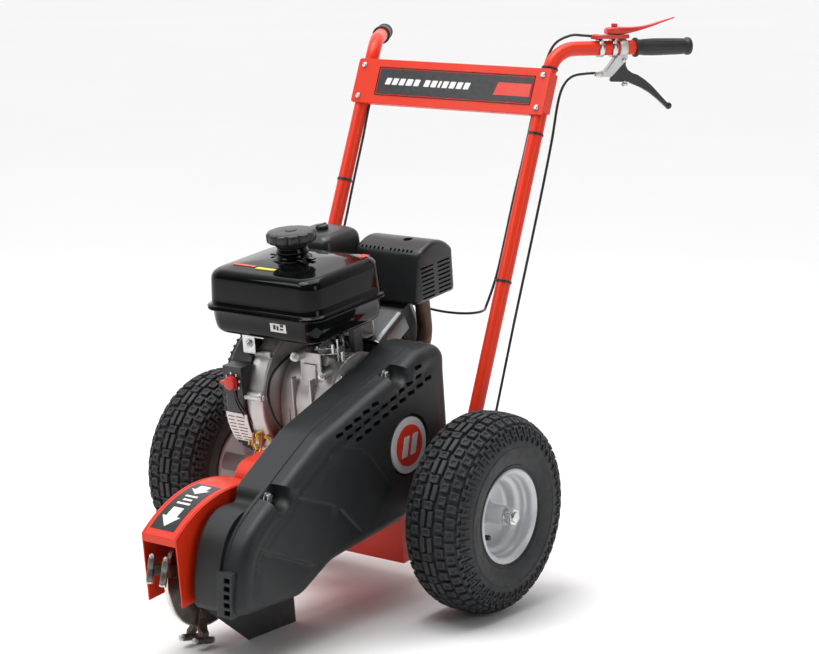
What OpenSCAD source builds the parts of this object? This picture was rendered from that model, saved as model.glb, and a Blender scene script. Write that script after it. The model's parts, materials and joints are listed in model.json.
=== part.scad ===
// Walk-behind stump grinder on two pneumatic wheels.
// X runs across the machine, Y points back to the operator, Z is up.
// Left and right are the operator's, so left is +X.

/* [Wheels] */
// Outside diameter of each tyre
tyre_d = 381; // [370:1:390]
// Section width of each tyre
tyre_w = 140; // [130:1:142]
// Distance between the middles of the two tyres
track = 641; // [640:1:660]
// Diameter over the rim flanges
rim_d = 180; // [176:1:184]
// Diameter of the fixed axle
axle_d = 20; // [18:1:22]

/* [Stance] */
// Nose-down lean of the chassis on level ground, in degrees
pitch = 6.5; // [6:0.1:7]

/* [Cutting head] */
// Distance from the axle forward to the cutter shaft
cutter_reach = 462; // [455:1:470]
// Middle of the cutter disc, to the left of the centre line
cutter_x = 31; // [30:1:32]
// Diameter of the cutter disc
disc_d = 208; // [190:1:212]
// Radius of the circle that the tooth middles run on
tooth_circle_r = 127; // [122:1:127]
// Sideways offset of a tooth from the disc's middle plane
tooth_offset = 16; // [14:1:18]
// Number of tooth stations round the disc, two teeth at each
tooth_stations = 4; // [3:1:5]

/* [Drive] */
// Height of the engine crankshaft over the axle
crank_up = 198; // [196:1:200]
// Distance from the axle forward to the crankshaft
crank_reach = 30; // [28:1:32]
// Groove-bottom diameter of the clutch pulley on the engine
driver_d = 78; // [74:1:80]
// Groove-bottom diameter of the pulley on the cutter shaft
driven_d = 70; // [66:1:76]

/* [Handle] */
// Outside diameter of the handle tubes
tube_d = 28.6; // [26:0.2:30]
// Wall thickness of the handle tubes
tube_wall = 2; // [1.5:0.1:3]
// Distance of each handle tube from the centre line
tube_x = 220; // [220:1:222]
// Lean of the handle tubes behind the chassis upright, in degrees
tube_lean = 27.4; // [27:0.1:28]
// Length of each tube from axle height up to its corner
post_len = 889; // [850:1:920]
// Length of each tube from its corner to the start of the grip
bar_len = 171; // [165:1:180]
// Length of each rubber grip
grip_len = 122; // [110:1:130]
// Outward turn of the grips, in degrees
grip_splay = 34; // [30:1:36]

/* [Fuel tank] */
// Width of the tank flange across the machine
tank_w = 280; // [270:1:282]
// Depth of the tank flange
tank_l = 240; // [230:1:242]
// Diameter of the fuel cap
cap_d = 96; // [80:1:98]

/* [Hidden] */
$fn = 64;

axle_z = tyre_d / 2;
axle_y = -13.7;
deck_z = crank_up - 106;
wheel_x = track / 2;
eps = 0.4;
run_gap = 0.05;

red = "orangered";
black = "#202224";
dark = "#33363a";
steel = "#a9adb0";
alloy = "#c4c6c8";

// ---------- placing helpers ----------

module on_chassis() {
    translate([0, axle_y, axle_z]) rotate([pitch, 0, 0]) children();
}

module on_post(up) {
    on_chassis() translate([0, 52.4, 0]) rotate([-tube_lean, 0, 0])
        translate([0, 0, up]) children();
}

// A bar along X between x0 and x1
module bar_x(x0, x1, y, z, d) {
    translate([x0, y, z]) rotate([0, 90, 0]) cylinder(d = d, h = x1 - x0);
}

// A ring along X with a true bore
module ring_x(x0, x1, y, z, d, bore) {
    difference() {
        bar_x(x0, x1, y, z, d);
        bar_x(x0 - 1, x1 + 1, y, z, bore);
    }
}

// An outline in Y and Z, thick along X
module slab_x(x0, x1, outline) {
    translate([x0, 0, 0]) rotate([90, 0, 90]) linear_extrude(x1 - x0) polygon(outline);
}

// A block given by its low and high corners
module block(low, high) {
    translate(low) cube(high - low);
}

// A hexagon-headed bolt along X, head at x0, pointing towards +X when way is 1
module bolt_x(x0, y, z, d, len, way) {
    translate([x0, y, z]) rotate([0, 90 * way, 0]) {
        translate([0, 0, -0.65 * d]) cylinder(d = 1.8 * d, h = 0.65 * d, $fn = 6);
        cylinder(d = d, h = len);
    }
}

// A revolved outline of [radius, x] points about the X axis through the origin
module turned_x(outline) {
    rotate([0, 90, 0]) rotate_extrude() polygon(outline);
}

function arc(y, z, r, from, to, steps) =
    [for (i = [0 : steps]) let (a = from + (to - from) * i / steps) [y + r * cos(a), z + r * sin(a)]];

// Moves each side of a closed outline (anticlockwise) inwards by d
function inset(p, d) = [
    for (i = [0 : len(p) - 1])
        let (
            n = len(p),
            before = p[(i + n - 1) % n],
            after = p[(i + 1) % n],
            u = (p[i] - before) / norm(p[i] - before),
            v = (after - p[i]) / norm(after - p[i]),
            side = [-u[1], u[0]] + [-v[1], v[0]]
        )
        p[i] + side * 2 * d / (side * side)
];

// A round tube along hand-placed points, swept as one closed polyhedron
module cord(route, d, sides) {
    last = len(route) - 1;
    function along(i) = route[min(i + 1, last)] - route[max(i - 1, 0)];
    function across(i) = let (t = along(i) / norm(along(i)), c = cross(t, [0.31, 0.42, 0.85])) c / norm(c);
    function ring(i) = let (t = along(i) / norm(along(i)), u = across(i), v = cross(t, u))
        [for (k = [0 : sides - 1]) route[i] + d / 2 * (cos(360 * k / sides) * u + sin(360 * k / sides) * v)];
    points = [for (i = [0 : last]) each ring(i)];
    walls = [
        for (i = [0 : last - 1], k = [0 : sides - 1])
            let (a = i * sides + k, b = i * sides + (k + 1) % sides) [a, a + sides, b + sides, b]
    ];
    caps = [
        [for (k = [0 : sides - 1]) k],
        [for (k = [sides - 1 : -1 : 0]) last * sides + k]
    ];
    polyhedron(points = points, faces = concat(walls, caps), convexity = 6);
}

// ---------- chassis ----------

box_w = 138;
box_front = -25;
box_back = 95;
box_low = -130;
box_top = 20;
sheet = 4;
deck_front = -165;
deck_back = 125;
deck_left = 80;
deck_right = -115;

cross_end = 238;
socket_d = tube_d + 7;

// The square cross member and the two sockets that take the handle tubes
module cross_member() {
    on_chassis() difference() {
        block([-cross_end, 32, -15], [cross_end, 62, 15]);
        block([-cross_end - 1, 35, -12], [cross_end + 1, 59, 12]);
    }
    for (side = [-1, 1])
        on_post(-24) translate([side * tube_x, 0, 0]) cylinder(d = socket_d, h = 134);
}

module socket_bores() {
    for (side = [-1, 1])
        on_post(-21) translate([side * tube_x, 0, 0]) {
            cylinder(d = tube_d + 0.6, h = 140);
            for (up = [51, 101])
                translate([-30, 0, up]) rotate([0, 90, 0]) cylinder(d = 8.4, h = 60);
        }
}

module frame() {
    color(red) difference() {
        union() {
            base_frame();
            cross_member();
        }
        socket_bores();
    }
}

// Engine deck on webs over a welded axle box, open below
module base_frame() {
    on_chassis() difference() {
        union() {
            block([deck_right, deck_front, deck_z - 5], [deck_left, deck_back, deck_z]);
            for (x = [deck_right, deck_left - sheet])
                block([x, deck_front, box_top], [x + sheet, deck_back, deck_z - 5]);
            block([deck_right, deck_front, box_top], [-14, deck_front + sheet, deck_z - 5]);
            block([deck_right, deck_back - sheet, box_top], [deck_left, deck_back, deck_z - 5]);
            difference() {
                block([-box_w, box_front, box_low], [box_w, box_back, box_top]);
                block([sheet - box_w, box_front + sheet, box_low - 1],
                      [box_w - sheet, box_back - sheet, box_top - sheet]);
            }
            for (y = [box_front, box_back - 24])
                block([-box_w, y, box_low], [box_w, y + 24, box_low + sheet]);
        }
        bar_x(-box_w - 1, box_w + 1, 0, 0, axle_d + 0.1);
        for (x = [-52, 30], y = [-112, 46])
            translate([x, y, deck_z - 6]) cylinder(d = 11, h = 7);
    }
}

boom_low = -27;
boom_front = -324;
boom_x0 = cutter_x - 41;
boom_x1 = cutter_x + 41;
boom_outline = concat(
    [[boom_front, boom_low], [-200, boom_low], [box_front - 0.2, -60], [box_front - 0.2, box_top], [deck_front - 0.2, box_top],
     [deck_front - 0.2, 147]],
    arc(boom_front + 40, 107, 40, 90, 180, 6)
);

module boom() {
    color(red) on_chassis() difference() {
        slab_x(boom_x0, boom_x1, boom_outline);
        slab_x(boom_x0 + sheet, boom_x1 - sheet, inset(boom_outline, sheet));
    }
}

// Arched hood over the cutter: two cheeks and a rolled top with a lip
hood_r = 242;
hood_front = -cutter_reach - 110;
hood_low = -27;
hood_y = -430;
hood_z = 147 - hood_r;
hood_back = -331;
hood_from = acos((hood_back - hood_y) / hood_r);
hood_to = acos((hood_front - hood_y) / hood_r);
cheek = 3;

module cutter_hood() {
    cheek_outline = concat(
        [[hood_front, hood_low], [boom_front - 0.3, hood_low], [boom_front - 0.3, 98]],
        arc(hood_y, hood_z, hood_r, hood_from, hood_to, 14)
    );
    roof_outline = concat(
        arc(hood_y, hood_z, hood_r, hood_from, hood_to, 14),
        [[hood_front, 82], [hood_front + cheek, 82]],
        arc(hood_y, hood_z, hood_r - cheek, hood_to - 0.9, hood_from, 14)
    );
    color(red) on_chassis() difference() {
        union() {
            slab_x(boom_x0, boom_x0 + cheek, cheek_outline);
            slab_x(boom_x1 - cheek, boom_x1, cheek_outline);
            slab_x(boom_x0 + cheek, boom_x1 - cheek, roof_outline);
        }
        bar_x(boom_x0 - 1, boom_x1 + 1, -cutter_reach, 0, 40);
    }
}

// Steel pan that covers the lower belt run and stands on the ground
pan_x = 80.4;
pan_fold = -428;
pan_turn = 14;
pan_tip = [-100 * sin(pan_turn), -100 * cos(pan_turn)];
pan_plan = [
    [pan_x, -290], [pan_x, pan_fold], [pan_x + pan_tip[0], pan_fold + pan_tip[1]],
    [pan_x + pan_tip[0] + 3, pan_fold + pan_tip[1]], [pan_x + 3, pan_fold], [pan_x + 3, -290]];

module belt_pan() {
    color(black) difference() {
        on_chassis() {
            intersection() {
                translate([0, 0, -165]) linear_extrude(125) polygon(pan_plan);
                slab_x(pan_x - 30, pan_x + 40, [[-290, -165], [-290, -40], [pan_fold - 92, -40],
                    [pan_fold + 25, -165]]);
            }
            block([pan_x + 1, pan_fold + 4, -62], [pan_x + 25, -300, -59]);
        }
        translate([-400, -900, -200]) cube([800, 1200, 200]);
    }
}

// ---------- wheels ----------

hub_in = wheel_x - 68.5;
hub_out = wheel_x + 49.5;
hub_d = 36;
bush_d = 26;

module axle() {
    color(steel) on_chassis() bar_x(-hub_out - 22, hub_out + 22, 0, 0, axle_d);
}

module axle_nuts() {
    color(steel) on_chassis() for (side = [-1, 1])
        mirror([side < 0 ? 1 : 0, 0, 0]) {
            ring_x(hub_in - 11, hub_in - eps, 0, 0, 34, axle_d + 0.04);
            ring_x(box_w + 0.2, box_w + 9, 0, 0, 34, axle_d + 0.04);
            ring_x(hub_out + eps, hub_out + 3, 0, 0, 34, axle_d + 0.04);
            translate([hub_out + 3, 0, 0]) rotate([0, 90, 0]) difference() {
                cylinder(d = 33, h = 15, $fn = 6);
                translate([0, 0, -1]) cylinder(d = axle_d + 0.04, h = 17);
            }
        }
}

tyre_r = tyre_d / 2;
bead_r = 79;
half_w = tyre_w / 2;

module tyre(side) {
    outer = [
        [bead_r, -50], [bead_r + 12, -53.5], [bead_r + 34, -half_w + 3], [bead_r + 58, -half_w],
        [bead_r + 82, -half_w + 4], [tyre_r - 14, -half_w + 10], [tyre_r - 3, -38], [tyre_r, -16],
        [tyre_r, 16], [tyre_r - 3, 38], [tyre_r - 14, half_w - 10], [bead_r + 82, half_w - 4],
        [bead_r + 58, half_w], [bead_r + 34, half_w - 3], [bead_r + 12, 53.5], [bead_r, 50]
    ];
    inner = [
        [bead_r, 42], [bead_r + 20, 47], [bead_r + 55, half_w - 8], [tyre_r - 22, half_w - 16],
        [tyre_r - 11, 30], [tyre_r - 11, -30], [tyre_r - 22, -half_w + 16], [bead_r + 55, -half_w + 8],
        [bead_r + 20, -47], [bead_r, -42]
    ];
    color(black) on_chassis() translate([side * wheel_x, 0, 0]) turned_x(concat(outer, inner));
}

// Pressed rim: rolled flanges, drop centre, dished web and welded hub tube
module rim(side) {
    rim_r = rim_d / 2;
    shell_out = [
        [rim_r, -57], [rim_r, -54.5], [bead_r - 0.4, -53], [bead_r - 0.4, -26], [66, -20], [66, 20],
        [bead_r - 0.4, 26], [bead_r - 0.4, 53], [rim_r, 54.5], [rim_r, 57],
        [bead_r - 4, 57], [bead_r - 4, 28], [62, 22], [62, 3], [hub_d / 2, 3], [hub_d / 2, -1],
        [62, -1], [62, -22], [bead_r - 4, -28], [bead_r - 4, -57]
    ];
    color("silver") on_chassis() mirror([side < 0 ? 1 : 0, 0, 0]) difference() {
        union() {
            translate([wheel_x, 0, 0]) turned_x(shell_out);
            bar_x(hub_in, hub_out, 0, 0, hub_d);
        }
        bar_x(hub_in - 1, hub_out + 1, 0, 0, bush_d);
        rotate([35, 0, 0]) bar_x(wheel_x - 10, wheel_x + 10, 0, 52, 8);
        rotate([35, 0, 0]) bar_x(wheel_x - 60, wheel_x + 80, 0, 69, 6.2);
    }
}

module hub_bushes(side) {
    color("goldenrod") on_chassis() mirror([side < 0 ? 1 : 0, 0, 0]) {
        ring_x(hub_in, hub_in + 40, 0, 0, bush_d, axle_d + 2 * run_gap);
        ring_x(hub_out - 40, hub_out, 0, 0, bush_d, axle_d + 2 * run_gap);
    }
}

drum_d = 100;
module brake_drum() {
    color(steel) on_chassis() difference() {
        union() {
            ring_x(hub_in + 2, hub_in + 5, 0, 0, drum_d, hub_d);
            ring_x(hub_in + 2, hub_in + 10, 0, 0, drum_d, drum_d - 8);
        }
    }
}

shoe_gap = 1.6;
module brake_shoe() {
    color(dark) on_chassis() {
        difference() {
            block([hub_in + 2, 40, -16], [hub_in + 9, drum_d / 2 + 12, 16]);
            bar_x(hub_in, hub_in + 14, 0, 0, drum_d + 2 * shoe_gap);
        }
        translate([hub_in + 5, drum_d / 2 + 12, 0]) rotate([-90, 0, 0]) cylinder(d = 6, h = 11);
    }
}

module shoe_guide() {
    guide_y = drum_d / 2 + 15;
    color(red) on_chassis() difference() {
        union() {
            block([hub_in, guide_y, -11], [hub_in + 10, guide_y + 10, 11]);
            block([cross_end, guide_y, -11], [hub_in, guide_y + 4, 11]);
            block([cross_end, 40, -11], [cross_end + 3, guide_y + 4, 11]);
        }
        translate([hub_in + 5, guide_y - 1, 0]) rotate([-90, 0, 0]) cylinder(d = 6.1, h = 14);
    }
}

// ---------- handle ----------

// The bar turns outwards and stays level with the ground
bar_way = [sin(grip_splay), cos(grip_splay) * cos(pitch), -cos(grip_splay) * sin(pitch)];
post_way = [0, sin(tube_lean), cos(tube_lean)];
bend_r = 60;
bend_angle = acos(bar_way * post_way);
bend_cut = bend_r * tan(bend_angle / 2);

// Puts Z along the left bar and X square to it in the plane of the bend
module along_bar(side) {
    square = post_way - (post_way * bar_way) * bar_way;
    u = square / norm(square);
    v = cross(bar_way, u);
    mirror([side < 0 ? 1 : 0, 0, 0]) on_chassis() translate([tube_x, 52.4, 0] + post_len * post_way)
        multmatrix([
            [u[0], v[0], bar_way[0], 0],
            [u[1], v[1], bar_way[1], 0],
            [u[2], v[2], bar_way[2], 0],
            [0, 0, 0, 1]
        ]) children();
}

module tube_run(side, d, grow) {
    on_post(-20 - grow) translate([side * tube_x, 0, 0])
        cylinder(d = d, h = post_len + 20 + grow - bend_cut);
    along_bar(side) {
        translate([-bend_r, 0, bend_cut]) rotate([-90, 0, 0])
            rotate_extrude(angle = bend_angle) translate([bend_r, 0]) circle(d = d);
        translate([0, 0, bend_cut]) cylinder(d = d, h = bar_len + grip_len - 8 - bend_cut + grow);
    }
}

module handle(side) {
    color(red) difference() {
        tube_run(side, tube_d, 0);
        tube_run(side, tube_d - 2 * tube_wall, 2);
        for (up = [30, 80])
            on_post(up) translate([side * tube_x - 20, 0, 0]) rotate([0, 90, 0]) cylinder(d = 8.4, h = 40);
    }
}

panel_low = 751;
panel_high = 845;
panel_front = -tube_d / 2 - 3.2;
panel_half = tube_x + 17;

module handle_panel() {
    color(red) on_post(panel_low) difference() {
        union() {
            block([-panel_half, panel_front, 0], [panel_half, panel_front + 3, panel_high - panel_low]);
            for (z = [0, panel_high - panel_low - 3])
                block([-tube_x + 18, panel_front, z], [tube_x - 18, panel_front + 16, z + 3]);
            for (side = [-1, 1])
                block([side * panel_half - 1.5, panel_front, 0],
                      [side * panel_half + 1.5, panel_front + 26, panel_high - panel_low]);
        }
        for (side = [-1, 1], up = [14, panel_high - panel_low - 14])
            translate([side * tube_x, panel_front - 1, up]) rotate([-90, 0, 0]) cylinder(d = 6.4, h = 5);
    }
}

// Plain nameplate on the panel and round boss plate on the belt guard
module badges() {
    color(black) on_post(panel_low + 22)
        block([-tube_x + 40, panel_front - 1.2, 0], [tube_x - 20, panel_front - 0.1, 52]);
    color("silver") on_chassis() bar_x(cover_out + 0.1, cover_out + 2.5, -55, 130, 108);
}

// Panel screws, and through bolts with nuts in the sockets
module handle_bolts() {
    color(steel) for (side = [-1, 1]) {
        for (up = [14, panel_high - panel_low - 14])
            on_post(panel_low + up) translate([side * tube_x, panel_front - 0.1, 0])
                rotate([-90, 0, 0]) {
                    translate([0, 0, -4]) cylinder(d = 12, h = 4);
                    cylinder(d = 6, h = 3.1);
                }
        for (up = [30, 80])
            on_post(up) translate([side * tube_x - 18, 0, 0]) {
                bolt_x(0, 0, 0, 8, 42, 1);
                translate([36, 0, 0]) rotate([0, 90, 0]) cylinder(d = 14, h = 6, $fn = 6);
            }
    }
}

grip_d = 33;
module grip(side) {
    color(black) along_bar(side) difference() {
        union() {
            translate([0, 0, bar_len]) cylinder(d = grip_d, h = grip_len);
            translate([0, 0, bar_len]) cylinder(d = grip_d + 5, h = 5);
            translate([0, 0, bar_len + grip_len - 9]) cylinder(d = grip_d + 2, h = 9);
        }
        translate([0, 0, bar_len - 1]) cylinder(d = tube_d + 0.02, h = grip_len - 6);
    }
}

// ---------- hand controls ----------

// Puts X along the left bar from the start of the grip, Z up and Y across
module on_bar() {
    up = [0, sin(pitch), cos(pitch)];
    across = cross(up, bar_way);
    start = [tube_x, 52.4, 0] + post_len * post_way + bar_len * bar_way;
    on_chassis() multmatrix([
        [bar_way[0], across[0], up[0], start[0]],
        [bar_way[1], across[1], up[1], start[1]],
        [bar_way[2], across[2], up[2], start[2]],
        [0, 0, 0, 1]
    ]) children();
}

// An outline in the plane of the bar, thick across it
module flank(y0, y1, outline) {
    translate([0, y1, 0]) rotate([90, 0, 0]) linear_extrude(y1 - y0) polygon(outline);
}

throttle_pivot = -43;
throttle_base = 18;
module throttle_housing() {
    color(red) on_bar() difference() {
        union() {
            flank(-14, 14, [[-88, 19], [-14, 19], [-14, 26], [-72, 26], [-86, 24]]);
            translate([throttle_pivot, 0, 20]) cylinder(d = 30, h = 6);
            translate([-90, 0, 22]) rotate([0, 90, 0]) cylinder(d = 9, h = 14);
        }
        translate([throttle_pivot, 0, 17]) cylinder(d = 6.1, h = 12);
        translate([-91, 0, 22]) rotate([0, 90, 0]) cylinder(d = 5.2, h = 10);
    }
    color(steel) on_bar() {
        translate([throttle_pivot, 0, 18]) cylinder(d = 6, h = 24);
        translate([throttle_pivot, 0, 42.3]) cylinder(d = 13, h = 6, $fn = 6);
        for (x = [-74, -46]) difference() {
            translate([x - 5, 0, 0]) rotate([0, 90, 0]) cylinder(d = tube_d + 9, h = 10);
            translate([x - 6, 0, 0]) rotate([0, 90, 0]) cylinder(d = tube_d + 0.04, h = 12);
        }
    }
}

module throttle_lever() {
    color(red) on_bar() difference() {
        union() {
            translate([throttle_pivot, 0, 26.4]) cylinder(d = 30, h = 15.4);
            flank(-9, 9, [[throttle_pivot, 27], [-16, 27], [34, 38], [84, 54], [86, 57], [83, 57.6],
                          [32, 43], [-10, 41], [throttle_pivot, 41.5]]);
        }
        translate([throttle_pivot, 0, 20]) cylinder(d = 6.1, h = 30);
    }
}

brake_pivot = [-25, -24];
bracket_x = -27;
module brake_bracket() {
    color("silver") on_bar() difference() {
        union() {
            translate([bracket_x - 8, 0, 0]) rotate([0, 90, 0]) cylinder(d = tube_d + 8, h = 16);
            flank(-10, 10, [[-36, -12], [-60, -44], [-76, -47], [-76, -56], [-52, -59], [-17, -20], [-18, -8]]);
        }
        translate([bracket_x - 30, 0, 0]) rotate([0, 90, 0]) cylinder(d = tube_d + 0.04, h = 60);
        translate([brake_pivot[0], -11, brake_pivot[1]]) rotate([-90, 0, 0]) cylinder(d = 5, h = 22);
        flank(-5.3, 5.3, [[-50, -70], [-50, -48], [-37, -17.9], [0, -17.9], [0, -70]]);
        translate([-80, 0, -51.5]) rotate([0, 90, 0]) cylinder(d = 5.2, h = 50);
    }
    color(steel) on_bar() translate([brake_pivot[0], -11, brake_pivot[1]]) rotate([-90, 0, 0])
        cylinder(d = 4.98, h = 22);
}

module brake_lever() {
    color(black) on_bar() difference() {
        union() {
            translate([brake_pivot[0], 5, brake_pivot[1]]) rotate([90, 0, 0]) cylinder(d = 11, h = 10);
            flank(-5, 5, [[-30.4, -25], [-49, -62], [-46, -66], [-8, -66], [30, -86], [76, -120], [82, -113],
                          [36, -74], [4, -52], [-12, -44], [-19.6, -24]]);
            translate([82, 5, -119]) rotate([90, 0, 0]) cylinder(d = 14, h = 10);
        }
        translate([brake_pivot[0], -6, brake_pivot[1]]) rotate([-90, 0, 0]) cylinder(d = 5.1, h = 12);
        translate([-19, 0, -67]) cylinder(d = 8.1, h = 22);
    }
}

module lock_button() {
    color("silver") on_bar() translate([-19, 0, -76]) {
        cylinder(d = 7.98, h = 26);
        cylinder(d = 13, h = 6);
    }
}

// ---------- cables ----------

// Each route is in chassis coordinates, hand placed from the lever to its end
throttle_route = [
    [235, 520, 814], [228, 500, 814], [212, 478, 798], [204, 456, 766], [200, 432, 720],
    [199, 403, 663], [199, 366, 592], [200, 326, 524], [200, 290, 454], [199, 254, 384],
    [190, 228, 330], [160, 252, 305], [110, 262, 292], [50, 262, 290], [-10, 254, 300], [-56, 232, 322],
    [-92, 196, 342], [-104, 160, 351], [-104, 141, 351]
];
brake_route = [
    [268, 549, 729], [252, 528, 731], [236, 500, 730], [230, 474, 716], [233, 446, 686],
    [238, 412, 622], [240, 372, 544], [240, 330, 460], [240, 288, 378], [240, 246, 296],
    [241, 206, 218], [242, 168, 144], [243, 134, 80], [244, 108, 34], [250, 92, 8], [257, 85, 0]
];
lead_route = [
    [196, 442, 736], [120, 436, 730], [0, 434, 728], [-120, 434, 728], [-180, 432, 722], [-202, 412, 684],
    [-202, 370, 600], [-202, 330, 520], [-201, 290, 440], [-198, 250, 376], [-184, 214, 318],
    [-158, 178, 258], [-130, 153, 218]
];

module throttle_cable() {
    color(black) on_chassis() cord(throttle_route, 5, 8);
    color(black) on_chassis() cord(lead_route, 5, 8);
}

module brake_cable() {
    color(black) on_chassis() cord(brake_route, 5, 8);
}

module cable_ties() {
    color(black) for (tie = [[1, 716], [1, 420], [-1, 590]])
        on_post(tie[1]) translate([tie[0] * tube_x, 0, -2.5]) difference() {
            cylinder(d = tube_d + 3, h = 5);
            translate([0, 0, -1]) cylinder(d = tube_d + 0.1, h = 7);
        }
}

// ---------- cutting head and drive ----------

module on_cutter() {
    on_chassis() translate([0, -cutter_reach, 0]) children();
}

shaft_d = 25;
module cutter_shaft() {
    color(steel) on_cutter() {
        bar_x(boom_x0 - 27, 144, 0, 0, shaft_d);
        ring_x(cutter_x - 12, cutter_x - 4.2, 0, 0, 74, shaft_d);
    }
}

module cutter_disc() {
    arm = [[4, 72], [10, 72], [10, 102], [19, 113], [19, 121], [12.5, 121], [4, 106]];
    color("sienna") on_cutter() difference() {
        union() {
            bar_x(cutter_x - 4, cutter_x + 4, 0, 0, disc_d);
            for (i = [0 : tooth_stations - 1], side = [-1, 1])
                translate([cutter_x, 0, 0]) rotate([161.5 + 360 * i / tooth_stations, 0, 0])
                    mirror([side < 0 ? 1 : 0, 0, 0])
                        translate([0, 0, -9]) linear_extrude(18) polygon(arm);
        }
        bar_x(cutter_x - 5, cutter_x + 5, 0, 0, shaft_d + 0.04);
        tooth_seats() translate([0, 0, -30]) cylinder(d = 13.1, h = 60);
        for (a = [45 : 90 : 315])
            rotate([a, 0, 0]) bar_x(cutter_x - 5, cutter_x + 5, 28, 0, 8.5);
    }
}

// Repeats its child at every tooth, Z along the way that the tooth moves
module tooth_seats() {
    for (i = [0 : tooth_stations - 1], side = [-1, 1])
        translate([cutter_x + side * tooth_offset, 0, 0])
            rotate([161.5 + 360 * i / tooth_stations, 0, 0])
                translate([0, tooth_circle_r, 0]) children();
}

module teeth() {
    color(steel) on_cutter() tooth_seats() {
        difference() {
            translate([0, 0, -20]) cylinder(d = 13, h = 40);
            translate([0, 0, -21]) cylinder(d = 8, h = 42);
        }
        translate([0, 0, -25]) cylinder(d = 7.96, h = 46);
        translate([0, 0, 20.1]) cylinder(d = 12.4, h = 5, $fn = 8);
    }
}

module tooth_nuts() {
    color("silver") on_cutter() tooth_seats() translate([0, 0, -25.5]) difference() {
        cylinder(d = 12.4, h = 5.3, $fn = 6);
        translate([0, 0, -1]) cylinder(d = 8, h = 8);
    }
}

module cutter_bearings() {
    color(dark) on_cutter() for (x = [boom_x0 - 14.2, boom_x1 + 0.1]) difference() {
        union() {
            block([x, -36, -36], [x + (x < 0 ? 14 : 7.8), 36, 36]);
            bar_x(x, x + (x < 0 ? 14 : 18), 0, 0, 52);
        }
        bar_x(x - 1, x + 19, 0, 0, shaft_d + 2 * run_gap);
        for (y = [-27, 27], z = [-27, 27]) bar_x(x - 1, x + 15, y, z, 9);
    }
}

belt_x0 = 118;
belt_x1 = 130;
groove = 11;

module vee_pulley(d, bore) {
    color(steel) difference() {
        union() {
            bar_x(belt_x0 - 0.5, belt_x1 + 0.5, 0, 0, d);
            for (x = [belt_x0 - 6, belt_x1 + 0.5])
                bar_x(x, x + 5.5, 0, 0, d + 2 * groove);
        }
        bar_x(belt_x0 - 7, belt_x1 + 7, 0, 0, bore);
    }
}

module driven_pulley() {
    on_cutter() vee_pulley(driven_d, shaft_d + 0.04);
}

pto_d = 25.4;
module on_crank() {
    on_chassis() translate([0, -crank_reach, crank_up]) children();
}

// Centrifugal clutch: its drum carries the belt groove
module clutch_pulley() {
    on_crank() {
        vee_pulley(driver_d, pto_d + 0.04);
        color(dark) ring_x(belt_x0 - 22, belt_x0 - 6, 0, 0, 92, pto_d + 0.04);
    }
}

module drive_belt() {
    color(black) on_chassis() translate([belt_x0, 0, 0]) rotate([90, 0, 90])
        linear_extrude(belt_x1 - belt_x0) difference() {
            belt_outline(8.4);
            belt_outline(0.4);
        }
}

module belt_outline(grow) {
    hull() {
        translate([-crank_reach, crank_up]) circle(d = driver_d + 2 * grow, $fn = 96);
        translate([-cutter_reach, 0]) circle(d = driven_d + 2 * grow, $fn = 96);
    }
}

// ---------- belt guard ----------

guard_x0 = 84;
seam_x = 146;
cover_out = 198;
wall = 3;
guard_outline = concat(
    [[-525, -38], [-387, -53], [-300, -20], [-262, -18], [-70, -15], [-30, 28], [60, 40], [80, 60],
     [80, 246]],
    arc(48, 264, 34, 0, 90, 5),
    [[4, 299], [-60, 276], [-150, 256], [-290, 222], [-423, 151]],
    arc(-490, 30, 70, 62, 180, 8),
    [[-560, -28]]
);
guard_bolt_at = [[-62, 263], [-418, 141]];

module guard_inner() {
    color(dark) on_chassis() difference() {
        union() {
            difference() {
                slab_x(guard_x0, seam_x, guard_outline);
                slab_x(guard_x0 + wall, seam_x + 1, inset(guard_outline, wall));
            }
            for (at = guard_bolt_at) bar_x(guard_x0 + 1, seam_x, at[0], at[1], 16);
        }
        for (at = guard_bolt_at) bar_x(seam_x - 30, seam_x + 1, at[0], at[1], 6.4);
        block([belt_x0 - 12, -526, -62], [belt_x1 + 14, -392, -30]);
        bar_x(guard_x0 - 1, guard_x0 + wall + 1, -crank_reach, crank_up, 104);
        bar_x(guard_x0 - 1, guard_x0 + wall + 1, -cutter_reach, 0, 58);
    }
}

// Slanted vents in three stepped rows; a bolt pocket interrupts the top row
vent_at = [-254, 212];
vent_step = 27;
vent_climb = 6.5;
vent_drop = 11.5;

module guard_cover() {
    color(dark) on_chassis() difference() {
        union() {
            difference() {
                union() {
                    slab_x(seam_x + 0.2, cover_out - 7, guard_outline);
                    slab_x(cover_out - 7, cover_out, inset(guard_outline, 7));
                }
                slab_x(seam_x - 1, cover_out - 9, inset(guard_outline, wall));
                slab_x(cover_out - 10, cover_out - wall, inset(guard_outline, 7 + wall));
            }
            for (at = guard_bolt_at) intersection() {
                slab_x(seam_x + 0.2, cover_out - 7, guard_outline);
                bar_x(seam_x + 0.2, cover_out - 8, at[0], at[1], 36);
            }
        }
        for (at = guard_bolt_at) {
            bar_x(seam_x - 1, seam_x + 10, at[0], at[1], 6.4);
            bar_x(seam_x + wall, cover_out + 1, at[0], at[1] + 3, 29);
        }
        for (row = [0 : 2], col = [0 : 9]) if (row > 0 ? col < 9 : col < 5 || col > 7)
            translate([0, vent_at[0] + vent_step * (col + row),
                       vent_at[1] + vent_climb * col - vent_drop * row])
                rotate([5, 0, 0]) block([cover_out - 12, -10, -4], [cover_out + 1, 10, 4]);
    }
}

module guard_bolts() {
    color(steel) on_chassis() for (at = guard_bolt_at)
        bolt_x(seam_x + wall + 0.1, at[0], at[1], 6, 30, -1);
}

// ---------- engine ----------

case_x0 = -62;
case_x1 = 66;
case_r = 88;

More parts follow.
